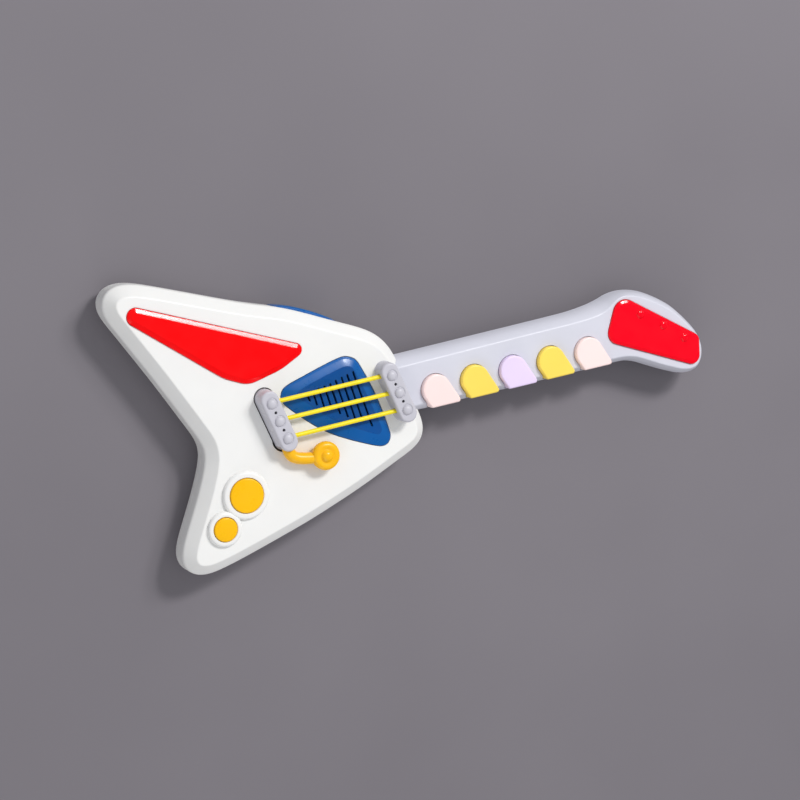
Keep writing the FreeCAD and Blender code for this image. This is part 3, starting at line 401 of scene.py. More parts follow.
def rod(x, y, r, z0, z1, steps=48):
    a = np.arange(steps) * 2 * math.pi / steps
    return prism(np.column_stack([x + r * np.cos(a), y + r * np.sin(a)]), z0, z1)


def root_block():
    """Block that trims the neck at ROOT_X."""
    return prism(np.array([(0, -60), (ROOT_X, -60), (ROOT_X, 60), (0, 60)]), -5, 60)


def dome(x, y, radius, rise, rim_z, foot_z, steps):
    profile = [(0.0, rim_z + rise)]
    for degrees in range(9, 91, 9):
        a = math.radians(degrees)
        profile.append((radius * math.sin(a), rim_z + rise * math.cos(a)))
    return lathe("tool", profile + [(radius, foot_z), (0.0, foot_z)], x, y, steps)


# ---------------------------------------------------------- material helpers
MATERIALS = {}


def srgb(r, g, b):
    """sRGB 0-255 to linear RGBA."""
    out = []
    for c in (r, g, b):
        c = c / 255.0
        out.append(c / 12.92 if c <= 0.04045 else ((c + 0.055) / 1.055) ** 2.4)
    return tuple(out) + (1.0,)


def tone(colour, gain, lift=0.0):
    return tuple(min(1.0, c * gain + lift) for c in colour[:3]) + (1.0,)


class Shader:
    """A material with a Principled BSDF, and short ways to add nodes to it."""

    def __init__(self, name):
        self.material = MATERIALS[name] = bpy.data.materials.new(name)
        self.material.use_nodes = True
        self.tree = self.material.node_tree
        self.tree.nodes.clear()
        self.output = self.add("ShaderNodeOutputMaterial")
        self.bsdf = self.add("ShaderNodeBsdfPrincipled")
        self.feed(self.output.inputs["Surface"], self.bsdf.outputs[0])
        self.coord = self.add("ShaderNodeTexCoord").outputs["Object"]

    def add(self, kind, **props):
        node = self.tree.nodes.new(kind)
        for key, value in props.items():
            setattr(node, key, value)
        return node

    def feed(self, socket, value):
        """Sets a socket to a constant, or links an output to it."""
        if isinstance(value, (float, int, tuple)):
            socket.default_value = value
        else:
            self.tree.links.new(value, socket)

    def set(self, name, value):
        self.feed(self.bsdf.inputs[name], value)

    def noise(self, scale, detail=3.0, rough=0.55, stretch=None):
        node = self.add("ShaderNodeTexNoise")
        self.feed(node.inputs["Scale"], scale)
        self.feed(node.inputs["Detail"], detail)
        self.feed(node.inputs["Roughness"], rough)
        vector = self.coord
        if stretch:
            mapping = self.add("ShaderNodeMapping")
            self.feed(mapping.inputs["Scale"], stretch)
            self.feed(mapping.inputs["Vector"], vector)
            vector = mapping.outputs[0]
        self.feed(node.inputs["Vector"], vector)
        return node.outputs["Fac"]

    def remap(self, value, over, to=(0.0, 1.0)):
        node = self.add("ShaderNodeMapRange")
        for name, limit in zip(("From Min", "From Max", "To Min", "To Max"), over + to):
            self.feed(node.inputs[name], limit)
        self.feed(node.inputs["Value"], value)
        return node.outputs[0]

    def mix(self, factor, a, b, blend="MIX"):
        node = self.add("ShaderNodeMix", data_type="RGBA", blend_type=blend)
        self.feed(node.inputs["Factor"], factor)
        self.feed(node.inputs[6], a)
        self.feed(node.inputs[7], b)
        return node.outputs[2]

    def math(self, operation, a, b=0.0, clamp=False):
        node = self.add("ShaderNodeMath", operation=operation, use_clamp=clamp)
        self.feed(node.inputs[0], a)
        self.feed(node.inputs[1], b)
        return node.outputs[0]

    def vary(self, scale, over, to=(0.0, 1.0), **noise):
        """Noise remapped to a range."""
        return self.remap(self.noise(scale, **noise), over, to)

    def mottle(self, a, b, scale, over, **noise):
        """Two colours mixed by noise."""
        return self.mix(self.vary(scale, over, **noise), a, b)

    def axis(self, name):
        """One object coordinate, in metres."""
        node = self.add("ShaderNodeSeparateXYZ")
        self.feed(node.inputs[0], self.coord)
        return node.outputs[name]

    def rounded(self, radius):
        """Normal that rounds sharp edges."""
        node = self.add("ShaderNodeBevel", samples=4)
        self.feed(node.inputs["Radius"], radius)
        return node.outputs[0]

    def edge_mask(self, rounded):
        """0-1 mask that is high along sharp edges."""
        geometry = self.add("ShaderNodeNewGeometry")
        dot = self.add("ShaderNodeVectorMath", operation="DOT_PRODUCT")
        self.feed(dot.inputs[0], rounded)
        self.feed(dot.inputs[1], geometry.outputs["Normal"])
        return self.remap(dot.outputs["Value"], over=(0.995, 0.8))

    def bump(self, height, strength, distance, normal=None):
        node = self.add("ShaderNodeBump")
        self.feed(node.inputs["Strength"], strength)
        self.feed(node.inputs["Distance"], distance)
        self.feed(node.inputs["Height"], height)
        if normal is not None:
            self.feed(node.inputs["Normal"], normal)
        return node.outputs[0]

    def subsurface(self, weight, radius, scale):
        self.set("Subsurface Weight", weight)
        self.set("Subsurface Radius", radius)
        self.set("Subsurface Scale", scale)


# ---------------------------------------------------------------- materials
def plastic(name, rgb, rough, spread=0.06, grain=0.10, tint=0.02, specular=0.5, coat=0.0,
            sss=0.0, wave=0.0, painted_light_split_z=None):
    """Moulded plastic: tint is the strength of the colour clouds, grain and wave are fine
    and broad bumps, and the last argument is the height that splits painted sheen below
    it from painted shade above it."""
    s = Shader(name)
    base = srgb(*rgb)
    clouds = s.noise(38.0, detail=2.0)
    fine = s.noise(2600.0, detail=2.0, rough=0.6)
    pores = s.noise(640.0, rough=0.6)
    colour = s.mix(s.remap(clouds, over=(0.35, 0.65)),
                   tone(base, 1 - tint), tone(base, 1 + tint * 0.6, tint * 0.01))
    rounded = s.rounded(0.00035)
    mask = s.edge_mask(rounded)
    # colour made lighter along sharp edges, in patches set by noise
    edge_lightening = s.math("MULTIPLY", mask, s.vary(420.0, over=(0.45, 0.7), to=(0.0, 0.45)))
    colour = s.mix(edge_lightening, colour, tone(base, gain=1.08, lift=0.015))
    if painted_light_split_z:
        # Painted light: below this height the colour is raised as a painted sheen, above it
        # lowered as painted shade.
        painted_shade_mask = s.remap(s.axis("Z"), over=(painted_light_split_z - 0.00005, painted_light_split_z))
        below, above = (1.0, 1.12, 1.08, 1.0), (0.72, 0.78, 0.85, 1.0)
        colour = s.mix(1.0, colour, s.mix(painted_shade_mask, below, above), blend="MULTIPLY")
    s.set("Base Color", colour)
    roughness = s.vary(95.0, over=(0.3, 0.7), to=(rough - spread, rough + spread),
                       detail=4.0, rough=0.6)
    s.set("Roughness", s.math("ADD", roughness, s.math("MULTIPLY", mask, 0.05), clamp=True))
    s.set("Specular IOR Level", specular)
    if coat:
        s.set("Coat Weight", coat)
        s.set("Coat Roughness", 0.06)
    if sss:
        s.subsurface(sss, radius=(1.0, 0.9, 0.8), scale=0.0015)
    height = s.math("ADD", s.math("MULTIPLY", fine, 0.6), s.math("MULTIPLY", pores, 0.4))
    normal = s.bump(height, strength=grain, distance=0.00006, normal=rounded)
    if wave:
        normal = s.bump(s.noise(55.0, detail=1.0), strength=wave, distance=0.0006,
                        normal=normal)
    s.set("Normal", normal)


def metal(name, rgb, rough):
    s = Shader(name)
    base = srgb(*rgb)
    lines = s.noise(900.0, detail=4.0, rough=0.7, stretch=(1, 1, 1))
    s.set("Base Color", s.mottle(tone(base, 0.6), base, scale=160.0, over=(0.35, 0.7),
                                 detail=4.0))
    s.set("Metallic", 1.0)
    s.set("Roughness", s.remap(lines, over=(0.25, 0.75), to=(rough - 0.08, rough + 0.14)))
    s.set("Normal", s.bump(lines, strength=0.12, distance=0.00004, normal=s.rounded(0.00012)))


def rubber(name, rgb, rough, sss):
    s = Shader(name)
    base = srgb(*rgb)
    s.set("Base Color", s.mottle(tone(base, 0.93), base, scale=140.0, over=(0.35, 0.65)))
    s.set("Roughness", s.vary(300.0, over=(0.3, 0.7), to=(rough - 0.08, rough + 0.08)))
    s.subsurface(sss, radius=(1.0, 0.8, 0.5), scale=0.001)
    s.set("Sheen Weight", 0.08)
    s.set("Normal", s.bump(s.noise(1800.0, rough=0.6), strength=0.18, distance=0.00005))


def circuit_board(name):
    """Green board with a brick pattern of tracks and round metal pads."""
    s = Shader(name)
    tracks = s.add("ShaderNodeTexBrick")
    for key, value in {"Scale": 260.0, "Mortar Size": 0.045, "Color1": srgb(16, 92, 52),
                       "Color2": srgb(13, 84, 46), "Mortar": srgb(58, 138, 84),
                       "Vector": s.coord}.items():
        s.feed(tracks.inputs[key], value)
    cells = s.add("ShaderNodeTexVoronoi")
    s.feed(cells.inputs["Scale"], 210.0)
    s.feed(cells.inputs["Vector"], s.coord)
    pads = s.remap(cells.outputs["Distance"], over=(0.10, 0.13), to=(1.0, 0.0))
    s.set("Base Color", s.mix(s.math("MULTIPLY", pads, 1.0, clamp=True),
                              tracks.outputs["Color"], srgb(196, 190, 172)))
    s.set("Metallic", s.math("MULTIPLY", pads, 0.8, clamp=True))
    s.set("Roughness", s.vary(220.0, over=(0.3, 0.7), to=(0.22, 0.36)))
    s.set("Normal", s.bump(tracks.outputs["Fac"], strength=0.2, distance=0.00004,
                           normal=s.rounded(0.0002)))


def paper(name):
    s = Shader(name)
    s.set("Base Color", s.mottle(srgb(20, 20, 22), srgb(52, 50, 50), scale=1200.0,
                                 over=(0.4, 0.62), detail=5.0, rough=0.7))
    s.set("Roughness", 0.9)
    s.set("Specular IOR Level", 0.2)
    s.set("Normal", s.bump(s.noise(1500.0, detail=5.0, rough=0.7), strength=0.5,
                           distance=0.0001))


def battery_cell(name):
    """Shrink-wrapped cell: dark wrap, a pale band and bare metal ends, by place along X."""
    s = Shader(name)
    x = s.axis("X")
    band = s.math("MULTIPLY", s.remap(x, over=(-0.0175, -0.0174)),
                  s.remap(x, over=(-0.0090, -0.0089), to=(1.0, 0.0)), clamp=True)
    ends = s.math("ADD", s.remap(x, over=(-0.0049, -0.0047)),
                  s.remap(x, over=(-0.0527, -0.0525), to=(1.0, 0.0)), clamp=True)
    wrap = s.mottle(srgb(16, 74, 60), srgb(22, 88, 70), scale=90.0, over=(0.3, 0.7))
    wrap = s.mix(band, wrap, srgb(222, 196, 120))
    s.set("Base Color", s.mix(ends, wrap, srgb(188, 186, 182)))
    s.set("Metallic", ends)
    s.set("Roughness", s.vary(400.0, over=(0.3, 0.7), to=(0.22, 0.36)))
    s.set("Normal", s.bump(s.noise(260.0, detail=2.0), strength=0.08, distance=0.0001,
                           normal=s.rounded(0.0004)))


def cable(name, rgb, ribs=0.0):
    """Cable sleeve; ribs is the angular frequency of dark stripes along Y."""
    s = Shader(name)
    base = srgb(*rgb)
    if ribs:
        stripes = s.math("SINE", s.math("MULTIPLY", s.axis("Y"), ribs))
        colour = s.mix(s.remap(stripes, over=(-0.9, 0.2)), tone(base, 0.45), base)
    else:
        colour = s.mottle(tone(base, 0.85), base, scale=200.0, over=(0.3, 0.7))
    s.set("Base Color", colour)
    s.set("Roughness", s.vary(500.0, over=(0.3, 0.7), to=(0.38, 0.52)))
    s.set("Normal", s.bump(s.noise(1400.0), strength=0.15, distance=0.00005))


def make_materials():
    gloss = dict(spread=0.04, grain=0.04, wave=0.02)
    satin = dict(grain=0.12, specular=0.45)
    key = dict(rough=0.36, spread=0.05, specular=0.4, sss=0.06)
    plastic("shell_white", (240, 240, 238), rough=0.34, tint=0.012, specular=0.45, sss=0.05)
    # the grille top above 34.72 mm gets painted shade, the blue parts below it a painted sheen
    plastic("trim_blue", (0, 88, 164), rough=0.30, tint=0.06, coat=0.12, painted_light_split_z=0.03472)
    plastic("panel_red", (255, 0, 6), rough=0.16, **gloss)
    plastic("head_red", (252, 0, 30), rough=0.15, **gloss)
    plastic("neck_grey", (211, 212, 223), rough=0.36, **satin)
    plastic("hardware_grey", (198, 197, 206), rough=0.38, tint=0.025, **satin)
    plastic("button_yellow", (255, 192, 0), rough=0.30, spread=0.05, grain=0.07, tint=0.03,
            specular=0.4, sss=0.06)
    plastic("lever_yellow", (254, 190, 20), rough=0.30, spread=0.05, grain=0.05, tint=0.03,
            specular=0.42, sss=0.08)
    plastic("key_pink", (254, 228, 225), tint=0.015, **key)
    plastic("key_yellow", (254, 222, 96), **key)
    plastic("key_lilac", (234, 216, 248), tint=0.015, **key)
    rubber("silicone", (226, 228, 222), rough=0.45, sss=0.35)
    rubber("string_cord", (255, 232, 20), rough=0.42, sss=0.15)
    metal("screw_steel", (190, 190, 194), rough=0.34)
    metal("spring_steel", (204, 202, 196), rough=0.26)
    metal("speaker_steel", (126, 126, 128), rough=0.42)
    metal("magnet_dark", (58, 58, 62), rough=0.5)
    paper("speaker_paper")
    circuit_board("board_green")
    plastic("chip_black", (18, 18, 19), rough=0.28, grain=0.12, tint=0.1, wave=0.2)
    cable("ribbon_grey", (150, 150, 154), ribs=4950.0)
    cable("wire_red", (196, 24, 20))
    battery_cell("cell_wrap")
    plastic("switch_black", (24, 24, 26), rough=0.45, grain=0.2, tint=0.08, specular=0.4)


def dress_cad_pieces():
    for row in frame["record"]["subparts"]:
        mesh = frame["nodes"][row["node"]].data
        mesh.materials.clear()
        mesh.materials.append(MATERIALS[row["material_slot"]])
        for polygon in mesh.polygons:
            polygon.use_smooth = True
        mesh.set_sharp_from_angle(angle=math.radians(24))


# ----------------------------------------------------------------- finishing
def smooth(ob, angle):
    """Cleans the mesh and shades it smooth, sharp above an angle in degrees."""
    bm = bmesh.new()
    bm.from_mesh(ob.data)
    bmesh.ops.remove_doubles(bm, verts=bm.verts, dist=2e-6)
    bmesh.ops.dissolve_degenerate(bm, edges=bm.edges, dist=1e-6)
    for face in bm.faces:
        face.smooth = True
    bm.to_mesh(ob.data)
    bm.free()
    ob.data.set_sharp_from_angle(angle=math.radians(angle))


def paint(ob, material):
    ob.data.materials.clear()
    ob.data.materials.append(MATERIALS[material])


def finish(ob, material, node, angle, body=ROOT):
    smooth(ob, angle)
    paint(ob, material)
    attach(ob, body)
    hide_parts(node)


# ---------------------------------------------------------------- the neck
NECK_WIDE = closed_curve(NECK_POINTS[:, :2], 6)
NECK_FLAT = closed_curve(NECK_POINTS[:, 2:], 6)


def neck_rings(stations):
    """Stations are blend towards the flat outline, inset, z."""
    return [blend_ring(NECK_WIDE, NECK_FLAT, *station) for station in stations]


def neck_top_rings():
    rings = [(0.0, 0.28, NECK_SPLIT), (0.0, 0.1, 16.08), (0.0, 0.0, 16.3)]
    # flank: z, blend
    flank = [(16.3, 0.0), (20.0, 0.10), (24.0, 0.30), (27.0, 0.57), (29.0, 0.84), (29.55, 0.93)]
    rings += [(blend, 0.0, z) for z, blend in open_curve(flank, 3)[1:]]
    for k in range(1, 7):
        # quadratic Bezier from the flank to the flat top
        t = k / 6.0
        a, b, c = (1 - t) ** 2, 2 * t * (1 - t), t * t
        rings.append((0.93 * a + 1.0 * b + 1.0 * c, 0.05 * b + 0.6 * c,
                      29.55 * a + 29.97 * b + NECK_TOP * c))
    rings += [(1.0, 0.95, NECK_TOP), (1.0, 1.9, NECK_TOP)]
    return neck_rings(rings)


def neck_back_rings():
    rings = [(0.0, 0.28, NECK_SPLIT), (0.0, 0.1, 15.92), (0.0, 0.02, 15.7)]
    for k in range(1, 13):
        a = math.radians(90 * k / 12)
        rings.append((0.0, 6.6 * (1 - math.cos(a)), NECK_SPLIT - 8.0 * math.sin(a)))
    rings.append((0.0, 7.6, 8.0))
    return neck_rings(rings)


def neck_solid():
    """The neck without its hollow or the chamfers at the split, for cutting."""
    solid = tower("tool", neck_back_rings()[2:][::-1] + neck_top_rings()[2:])
    return boolean(solid, [root_block()])


def make_neck_front():
    inner = [(0.0, 2.2, NECK_SPLIT), (0.12, 2.3, 20.0), (0.36, 2.4, 24.0), (0.66, 2.5, 27.0),
             (0.8, 2.5, 27.9), (0.8, 3.2, 27.9)]
    ob = shell("neck_front", neck_top_rings(), neck_rings(inner))
    tools = [root_block()]
    for x in KEY_X:
        tools.append(place(prism(belt(KEY_BELT, 0.4), 17.0, 36.0), (x, KEY_Y)))
    # recess for the headstock panel
    tools.append(prism(belt(HEAD_BELT, 0.3), 29.0, 33.0))
    boolean(ob, tools)
    finish(ob, "neck_grey", "neck_front_shell", angle=28)


def make_neck_back():
    inner = [(0.0, 2.2, NECK_SPLIT), (0.0, 2.4, 13.4), (0.0, 3.9, 11.4), (0.0, 6.9, 10.1),
             (0.0, 7.6, 10.1)]
    ob = shell("neck_back", neck_back_rings(), neck_rings(inner))
    holes = [(112.0, 9.5), (171.0, 9.5), (224.0, 8.0), (262.0, 12.0), (294.0, -22.0)]
    boolean(ob, [root_block()] + [rod(x, y, 2.6, 4.0, 13.0) for x, y in holes])
    finish(ob, "neck_grey", "neck_back_shell", angle=28)


# ---------------------------------------------------------------- the body
BODY = closed_curve(soften(resample(closed_curve(BODY_POINTS, 6), 110), 2), 4)
GRILLE_FOOT = closed_curve(GRILLE_POINTS[:, :2], 8)
GRILLE_TOP = closed_curve(GRILLE_POINTS[:, 2:], 8)
# upper part of the body wall: inset, z, with the setbacks of its corners
WALL_PATH = [(0.0, 15.8), (0.0, 24.4), (7.6, BODY_TOP), (9.0, BODY_TOP)]
WALL_SETBACKS = [1.5, 0.7, 0]


def body_rings(profile):
    return [flat_ring(inset(BODY, d), z) for d, z in profile]


def make_body_front():
    outer = fillet([(0.30, 15.5)] + WALL_PATH, [0, 0.2] + WALL_SETBACKS)
    inner = [(2.2, 15.5), (2.2, 22.4), (2.9, 24.2), (8.5, 29.8), (9.0, 29.8)]
    ob = shell("body_front", body_rings(outer), body_rings(inner))
    seat_z, above = 30.8, 33.0
    # speaker opening, horn recess, button holes, bridge and lever seats, neck pocket
    tools = [prism(inset(GRILLE_FOOT, -0.4), 29.0, above),
             prism(belt(HORN_BELT, 0.25), 31.0, above),
             rod(LARGE.x, LARGE.y, LARGE.hole, 28.0, above, 72),
             rod(SMALL.x, SMALL.y, SMALL.hole, 28.0, above, 72),
             place(prism(belt(CAPSULE, 0.75), seat_z, above), BRIDGE_CENTRE, CAP_TILT),
             rod(PIVOT_X, PIVOT_Y, 8.0, seat_z, above, 72),
             neck_solid()]
    boolean(ob, tools)
    finish(ob, "shell_white", "body_front_shell", angle=28)


def make_side_pad():
    """Bulging pad on the +Y side wall."""
    z_low, z_high, row_count, sunk = 9.5, 22.0, 15, 0.7

    def nearest(x, y):
        return int(np.argmin(np.hypot(BODY[:, 0] - x, BODY[:, 1] - y)))

    span = range(nearest(38, 53.4), nearest(-3, 72.4) + 1)
    n = len(span)
    verts = []
    for k, z in enumerate(np.linspace(z_low, z_high, row_count)):
        v = abs(k / (row_count - 1) * 2 - 1)
        fullness = 0.35 + 0.65 * (1 - v ** 6) ** 0.5
        for j, i in enumerate(span):
            bulge = 0.15 + 2.15 * math.sin(math.pi * (j / (n - 1))) ** 0.55 * fullness
            verts.append(tuple(inset(BODY, -bulge)[i]) + (z,))
    low = len(verts)      # first vertex of the sunk lower edge
    high = low + n        # and of the sunk upper edge
    sunk_outline = inset(BODY, sunk)
    for z in (z_low, z_high):
        verts += [tuple(sunk_outline[i]) + (z,) for i in span]
    faces = []
    for a in range(0, (row_count - 1) * n, n):
        for c in range(a, a + n - 1):
            faces.append((c, c + 1, c + n + 1, c + n))
    top = (row_count - 1) * n
    for c in range(n - 1):
        faces.append((low + c + 1, low + c, high + c, high + c + 1))
        faces.append((low + c, low + c + 1, c + 1, c))
        faces.append((top + c, top + c + 1, high + c + 1, high + c))
    first_column = [r * n for r in range(row_count)]
    last_column = [r * n + n - 1 for r in range(row_count)]
    faces.append(tuple([low] + first_column + [high]))
    faces.append(tuple([high + n - 1] + last_column[::-1] + [high - 1]))
    ob = recalc_normals(new_object("side_pad", verts, faces))
    finish(ob, "trim_blue", "side_trim", angle=35)


def make_horn_panel():
    profile = fillet([(0.0, 31.0), (0.0, 32.7), (3.45, 33.98), (4.3, 33.98)],
                     [0, 0.4, 0.5, 0], 6)
    ob = tower("horn_panel_face", belt_rings(HORN_BELT, profile))
    finish(ob, "panel_red", "horn_panel", angle=40)


def make_grille():
    # stations: blend towards the top outline, inset, z
    outer = [(0.0, 0.0, 28.5), (0.0, 0.0, 31.6)]
    for k in range(5):
        t = k / 4.0
        outer.append((0.0, 0.55 * t * t, 31.9 + 0.55 * (1 - (1 - t) ** 2)))
    for k in range(1, 10):
        t = 0.06 + (0.93 - 0.06) * k / 9.0
        outer.append((t, 0.0, 32.4 + 2.28 * t + 0.12 * math.sin(math.pi * t)))
    outer += [(0.96, 0.0, 34.60), (0.985, 0.0, 34.63), (1.0, 0.06, 34.70), (1.0, 0.16, 34.78),
              (1.0, 0.32, 34.8), (1.0, 0.9, 34.8)]
    inner = [(1.0, -1.4, 28.5), (1.0, -1.4, 32.2), (1.0, -1.0, 32.8), (1.0, 0.2, 32.8)]
    ob = shell("grille", *[[blend_ring(GRILLE_FOOT, GRILLE_TOP, *station) for station in side]
                           for side in (outer, inner)])
    tools = []
    for (xa, ya), (xb, yb) in SLOTS:
        length = math.hypot(xb - xa, yb - ya)
        slot = belt([(length, 0, SLOT_WIDTH / 2), (0, 0, SLOT_WIDTH / 2)],
                    arc_step=22.5, line_step=50)
        tools.append(place(prism(slot, 30.0, 36.0), (xa, ya), math.atan2(yb - ya, xb - xa)))
    boolean(ob, tools)
    finish(ob, "trim_blue", "speaker_grille", angle=32)


# ------------------------------------------------------------------ buttons
def bezel_ring(button):
    bore, rim, spigot = button.bore, button.rim, button.spigot
    foot, seat = 29.0, 32.02
    crown = (bore + 0.7, 34.95)
    top = open_curve([(rim, seat), (rim - 0.1, 33.2), (rim - 0.7, 34.25), (rim - 1.6, 34.8),
                      crown], 5)
    lip = fillet([crown, (bore, 34.9), (bore, foot)], [0, 0.3, 0], 4)[1:]
    return lathe("bezel", [(spigot, foot), (spigot, seat)] + top + lip, button.x, button.y, 120)


def make_bezel():
    ob = boolean(bezel_ring(LARGE), [bezel_ring(SMALL)], "UNION")
    finish(ob, "shell_white", "button_bezel", angle=35)


def make_button(size, button):
    r, flange = button.cap, button.flange
    top = [(0.0, 36.12), (r * 0.45, 36.08), (r * 0.8, 35.98), (r - 1.1, 35.88)]
    edge = fillet([(r - 1.1, 35.88), (r, 35.8), (r, 28.8)], [0, 0.9, 0])[1:]
    underside = [(flange, 28.8), (flange, 27.4), (r - 2.0, 27.4), (r - 2.0, 33.6),
                 (2.8, 33.6), (2.8, 23.06), (0.0, 23.06)]
    ob = lathe(size + "_button_cap", top + edge + underside, button.x, button.y, 120)
    finish(ob, "button_yellow", size + "_button", angle=35, body=size + "-button-body")


# --------------------------------------------------------- bridge and nut
def cover_wall_x(centre, y, side):
    """x where a string at y crosses a cover's wall, on its +X (1) or -X (-1) side."""
    return centre[0] - y * math.tan(CAP_TILT) + side * CAP_R / math.cos(CAP_TILT)


def string_hole(centre, y, side):
    """Bore along X through the wall of a cover."""
    radius = 1.85
    wall = cover_wall_x(centre, y, side)
    angles = np.arange(32) * 2 * math.pi / 32
    rings = []
    for x in sorted((wall - side * 3.0, wall + side * 2.5)):
        rings.append(np.array([(x, y + radius * math.cos(a), STRING_Z + radius * math.sin(a))
                               for a in angles]))
    return recalc_normals(tower("tool", rings))


def cap_cover(name, centre, foot_z, side):
    """Hollow capsule with three ringed domes and two countersunk holes on its top."""
    outer = fillet([(0.0, foot_z), (0.0, 33.2), (0.4, CAP_TOP), (3.0, CAP_TOP)],
                   [0, 0.4, 1.6, 0], 10)
    inner = [(1.6, foot_z), (1.6, 41.4), (2.3, 42.2), (3.0, 42.2)]
    ob = shell(name, belt_rings(CAPSULE, outer), belt_rings(CAPSULE, inner))
    groove = [(3.80 + 0.38 * math.cos(a), 44.08 + 0.38 * math.sin(a))
              for a in np.linspace(0, 2 * math.pi, 13)[:-1]]
    countersink = [(0, 41.6), (0.95, 41.6), (0.95, 43.8), (1.3, 44.3), (0, 44.3)]
    tools = [lathe("tool", groove, 0, y, 64) for y in DOME_OFFSETS]
    tools += [lathe("tool", countersink, 0, y, 40) for y in (6.5, -6.5)]
    boolean(ob, tools)
    boolean(ob, [dome(0, y, radius=3.36, rise=2.0, rim_z=43.75, foot_z=43.3, steps=64)
                 for y in DOME_OFFSETS], "UNION")
    place(ob, centre, CAP_TILT)
    return boolean(ob, [string_hole(centre, y, side) for y in STRING_Y])


def make_bridge():
    ob = cap_cover("bridge_top", BRIDGE_CENTRE, foot_z=30.8, side=+1)
    # sector cleared for the lever
    sector = [(PIVOT_X, PIVOT_Y)]
    for k in range(13):
        a = math.radians(-157.0 + 132.0 * k / 12)
        sector.append((PIVOT_X + 14 * math.cos(a), PIVOT_Y + 14 * math.sin(a)))
    boolean(ob, [prism(np.array(sector), 32.1, 40.6)])
    finish(ob, "hardware_grey", "bridge_cover", angle=32)


def make_nut():
    ob = cap_cover("nut_top", NUT_CENTRE, foot_z=27.0, side=-1)
    profile = [(0.0, 14.0)] + fillet(WALL_PATH, [0] + WALL_SETBACKS)
    boolean(ob, [tower("tool", body_rings(profile)), neck_solid()])
    finish(ob, "hardware_grey", "nut_cover", angle=32)


# ---------------------------------------------------------- tremolo lever
def make_lever():
    # arm centre line: x, y, z
    path = open_curve([
        (PIVOT_X + 0.4, PIVOT_Y - 4.6, 36.4), (-14.45, -21.4, 36.4), (-13.6, -24.2, 36.4),
        (-11.9, -26.6, 36.45), (-9.0, -28.3, 36.6), (-5.4, -29.4, 36.8), (-1.0, -30.25, 37.1),
        (4.0, -31.0, 37.6)], 6)
    radii = np.interp(np.linspace(0, 1, len(path)), [0, 0.2, 0.7, 1.0], [3.9, 4.0, 4.0, 3.9])
    lever = sweep("lever", path, radii, 48)
    # knob: radius, z
    profile = open_curve([
        (3.0, 35.2), (6.6, 35.25), (8.4, 35.8), (9.4, 36.9), (9.75, 38.4), (9.62, 39.9),
        (9.0, 41.1), (8.0, 41.8), (7.0, 42.08), (6.1, 42.0), (5.3, 41.8), (4.6, 41.72),
        (4.15, 41.85), (3.8, 42.3), (3.2, 42.95), (2.3, 43.55), (1.2, 43.93), (0.5, 44.0)], 4)
    knob = lathe("tool", [(0.0, 35.2)] + profile + [(0.0, 44.01)], KNOB_X, KNOB_Y, 120)
    hub_belt = [(PIVOT_X, PIVOT_Y, 4.5), (PIVOT_X + 0.5, PIVOT_Y - 6.5, 2.4)]
    hub = tower("tool", belt_rings(hub_belt, [(0.3, 35.3), (0.0, 35.6), (0.0, 38.9),
                                              (0.3, 39.2)]))
    boolean(lever, [knob, hub], "UNION")
    boolean(lever, [rod(PIVOT_X, PIVOT_Y, 3.06, 30.0, 42.0)])
    finish(lever, "lever_yellow", "tremolo_lever", angle=38, body="tremolo-body")


# ------------------------------------------------------------- the strings
def make_string(number, y):
    """Two halves that meet in the middle, each held at its cover."""
    stations = 40
    bridge_x = cover_wall_x(BRIDGE_CENTRE, y, 1) - STRING_TUCK
    nut_x = cover_wall_x(NUT_CENTRE, y, -1) + STRING_TUCK
    middle = 0.5 * (bridge_x + nut_x)
    for tag, held, side in (("a", bridge_x, 1.0), ("b", nut_x, -1.0)):
        points = np.column_stack([np.linspace(held, middle, stations), np.full(stations, y),
                                  np.full(stations, STRING_Z)])
        ob = sweep("string_%d_%s" % (number, tag), points, np.full(stations, STRING_R), 28)
        smooth(ob, 40)
        paint(ob, "string_cord")
        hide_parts("string_%d" % number)
        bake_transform(ob)


# ---------------------------------------------------------------- the keys
def make_key(number, x, material):
    def rings(profile):
        return [flat_ring(belt(KEY_BELT, -d, arc_step=4.0, line_step=1.6), z)
                for d, z in profile]

    outer = fillet([(0.0, KEY_FOOT), (0.0, KEY_TOP), (3.0, KEY_TOP)], [0, 1.35, 0], 9)
    outer[-1] = (1.7, KEY_TOP)
    inner = [(1.45, KEY_FOOT), (1.45, 30.9), (1.9, 31.3)]
    ob = shell("key_cap_%d" % number, rings(outer), rings(inner))
    stem = lathe("tool", [(0.0, 18.06), (2.4, 18.06), (2.4, 31.6), (0.0, 31.6)], steps=40)
    boolean(ob, [stem], "UNION")
    place(ob, (x, KEY_Y))
    finish(ob, material, "key_%d" % number, angle=32, body="key-%d-body" % number)


# --------------------------------------------------------- headstock panel
def make_headstock_panel():
    profile = fillet([(0.0, 29.0), (0.0, 31.15), (2.7, 32.2), (3.8, 32.2)], [0, 0.5, 0.7, 0], 6)
    ob = tower("headstock_plate", belt_rings(HEAD_BELT, profile))
    domes = [dome(x, y, radius=3.1, rise=1.7, rim_z=31.9, foot_z=31.4, steps=56)
             for x, y in ((260.3, 11.0), (277.0, -0.5), (292.3, -12.8))]
    boolean(ob, domes, "UNION")
    finish(ob, "head_red", "headstock_panel", angle=40)


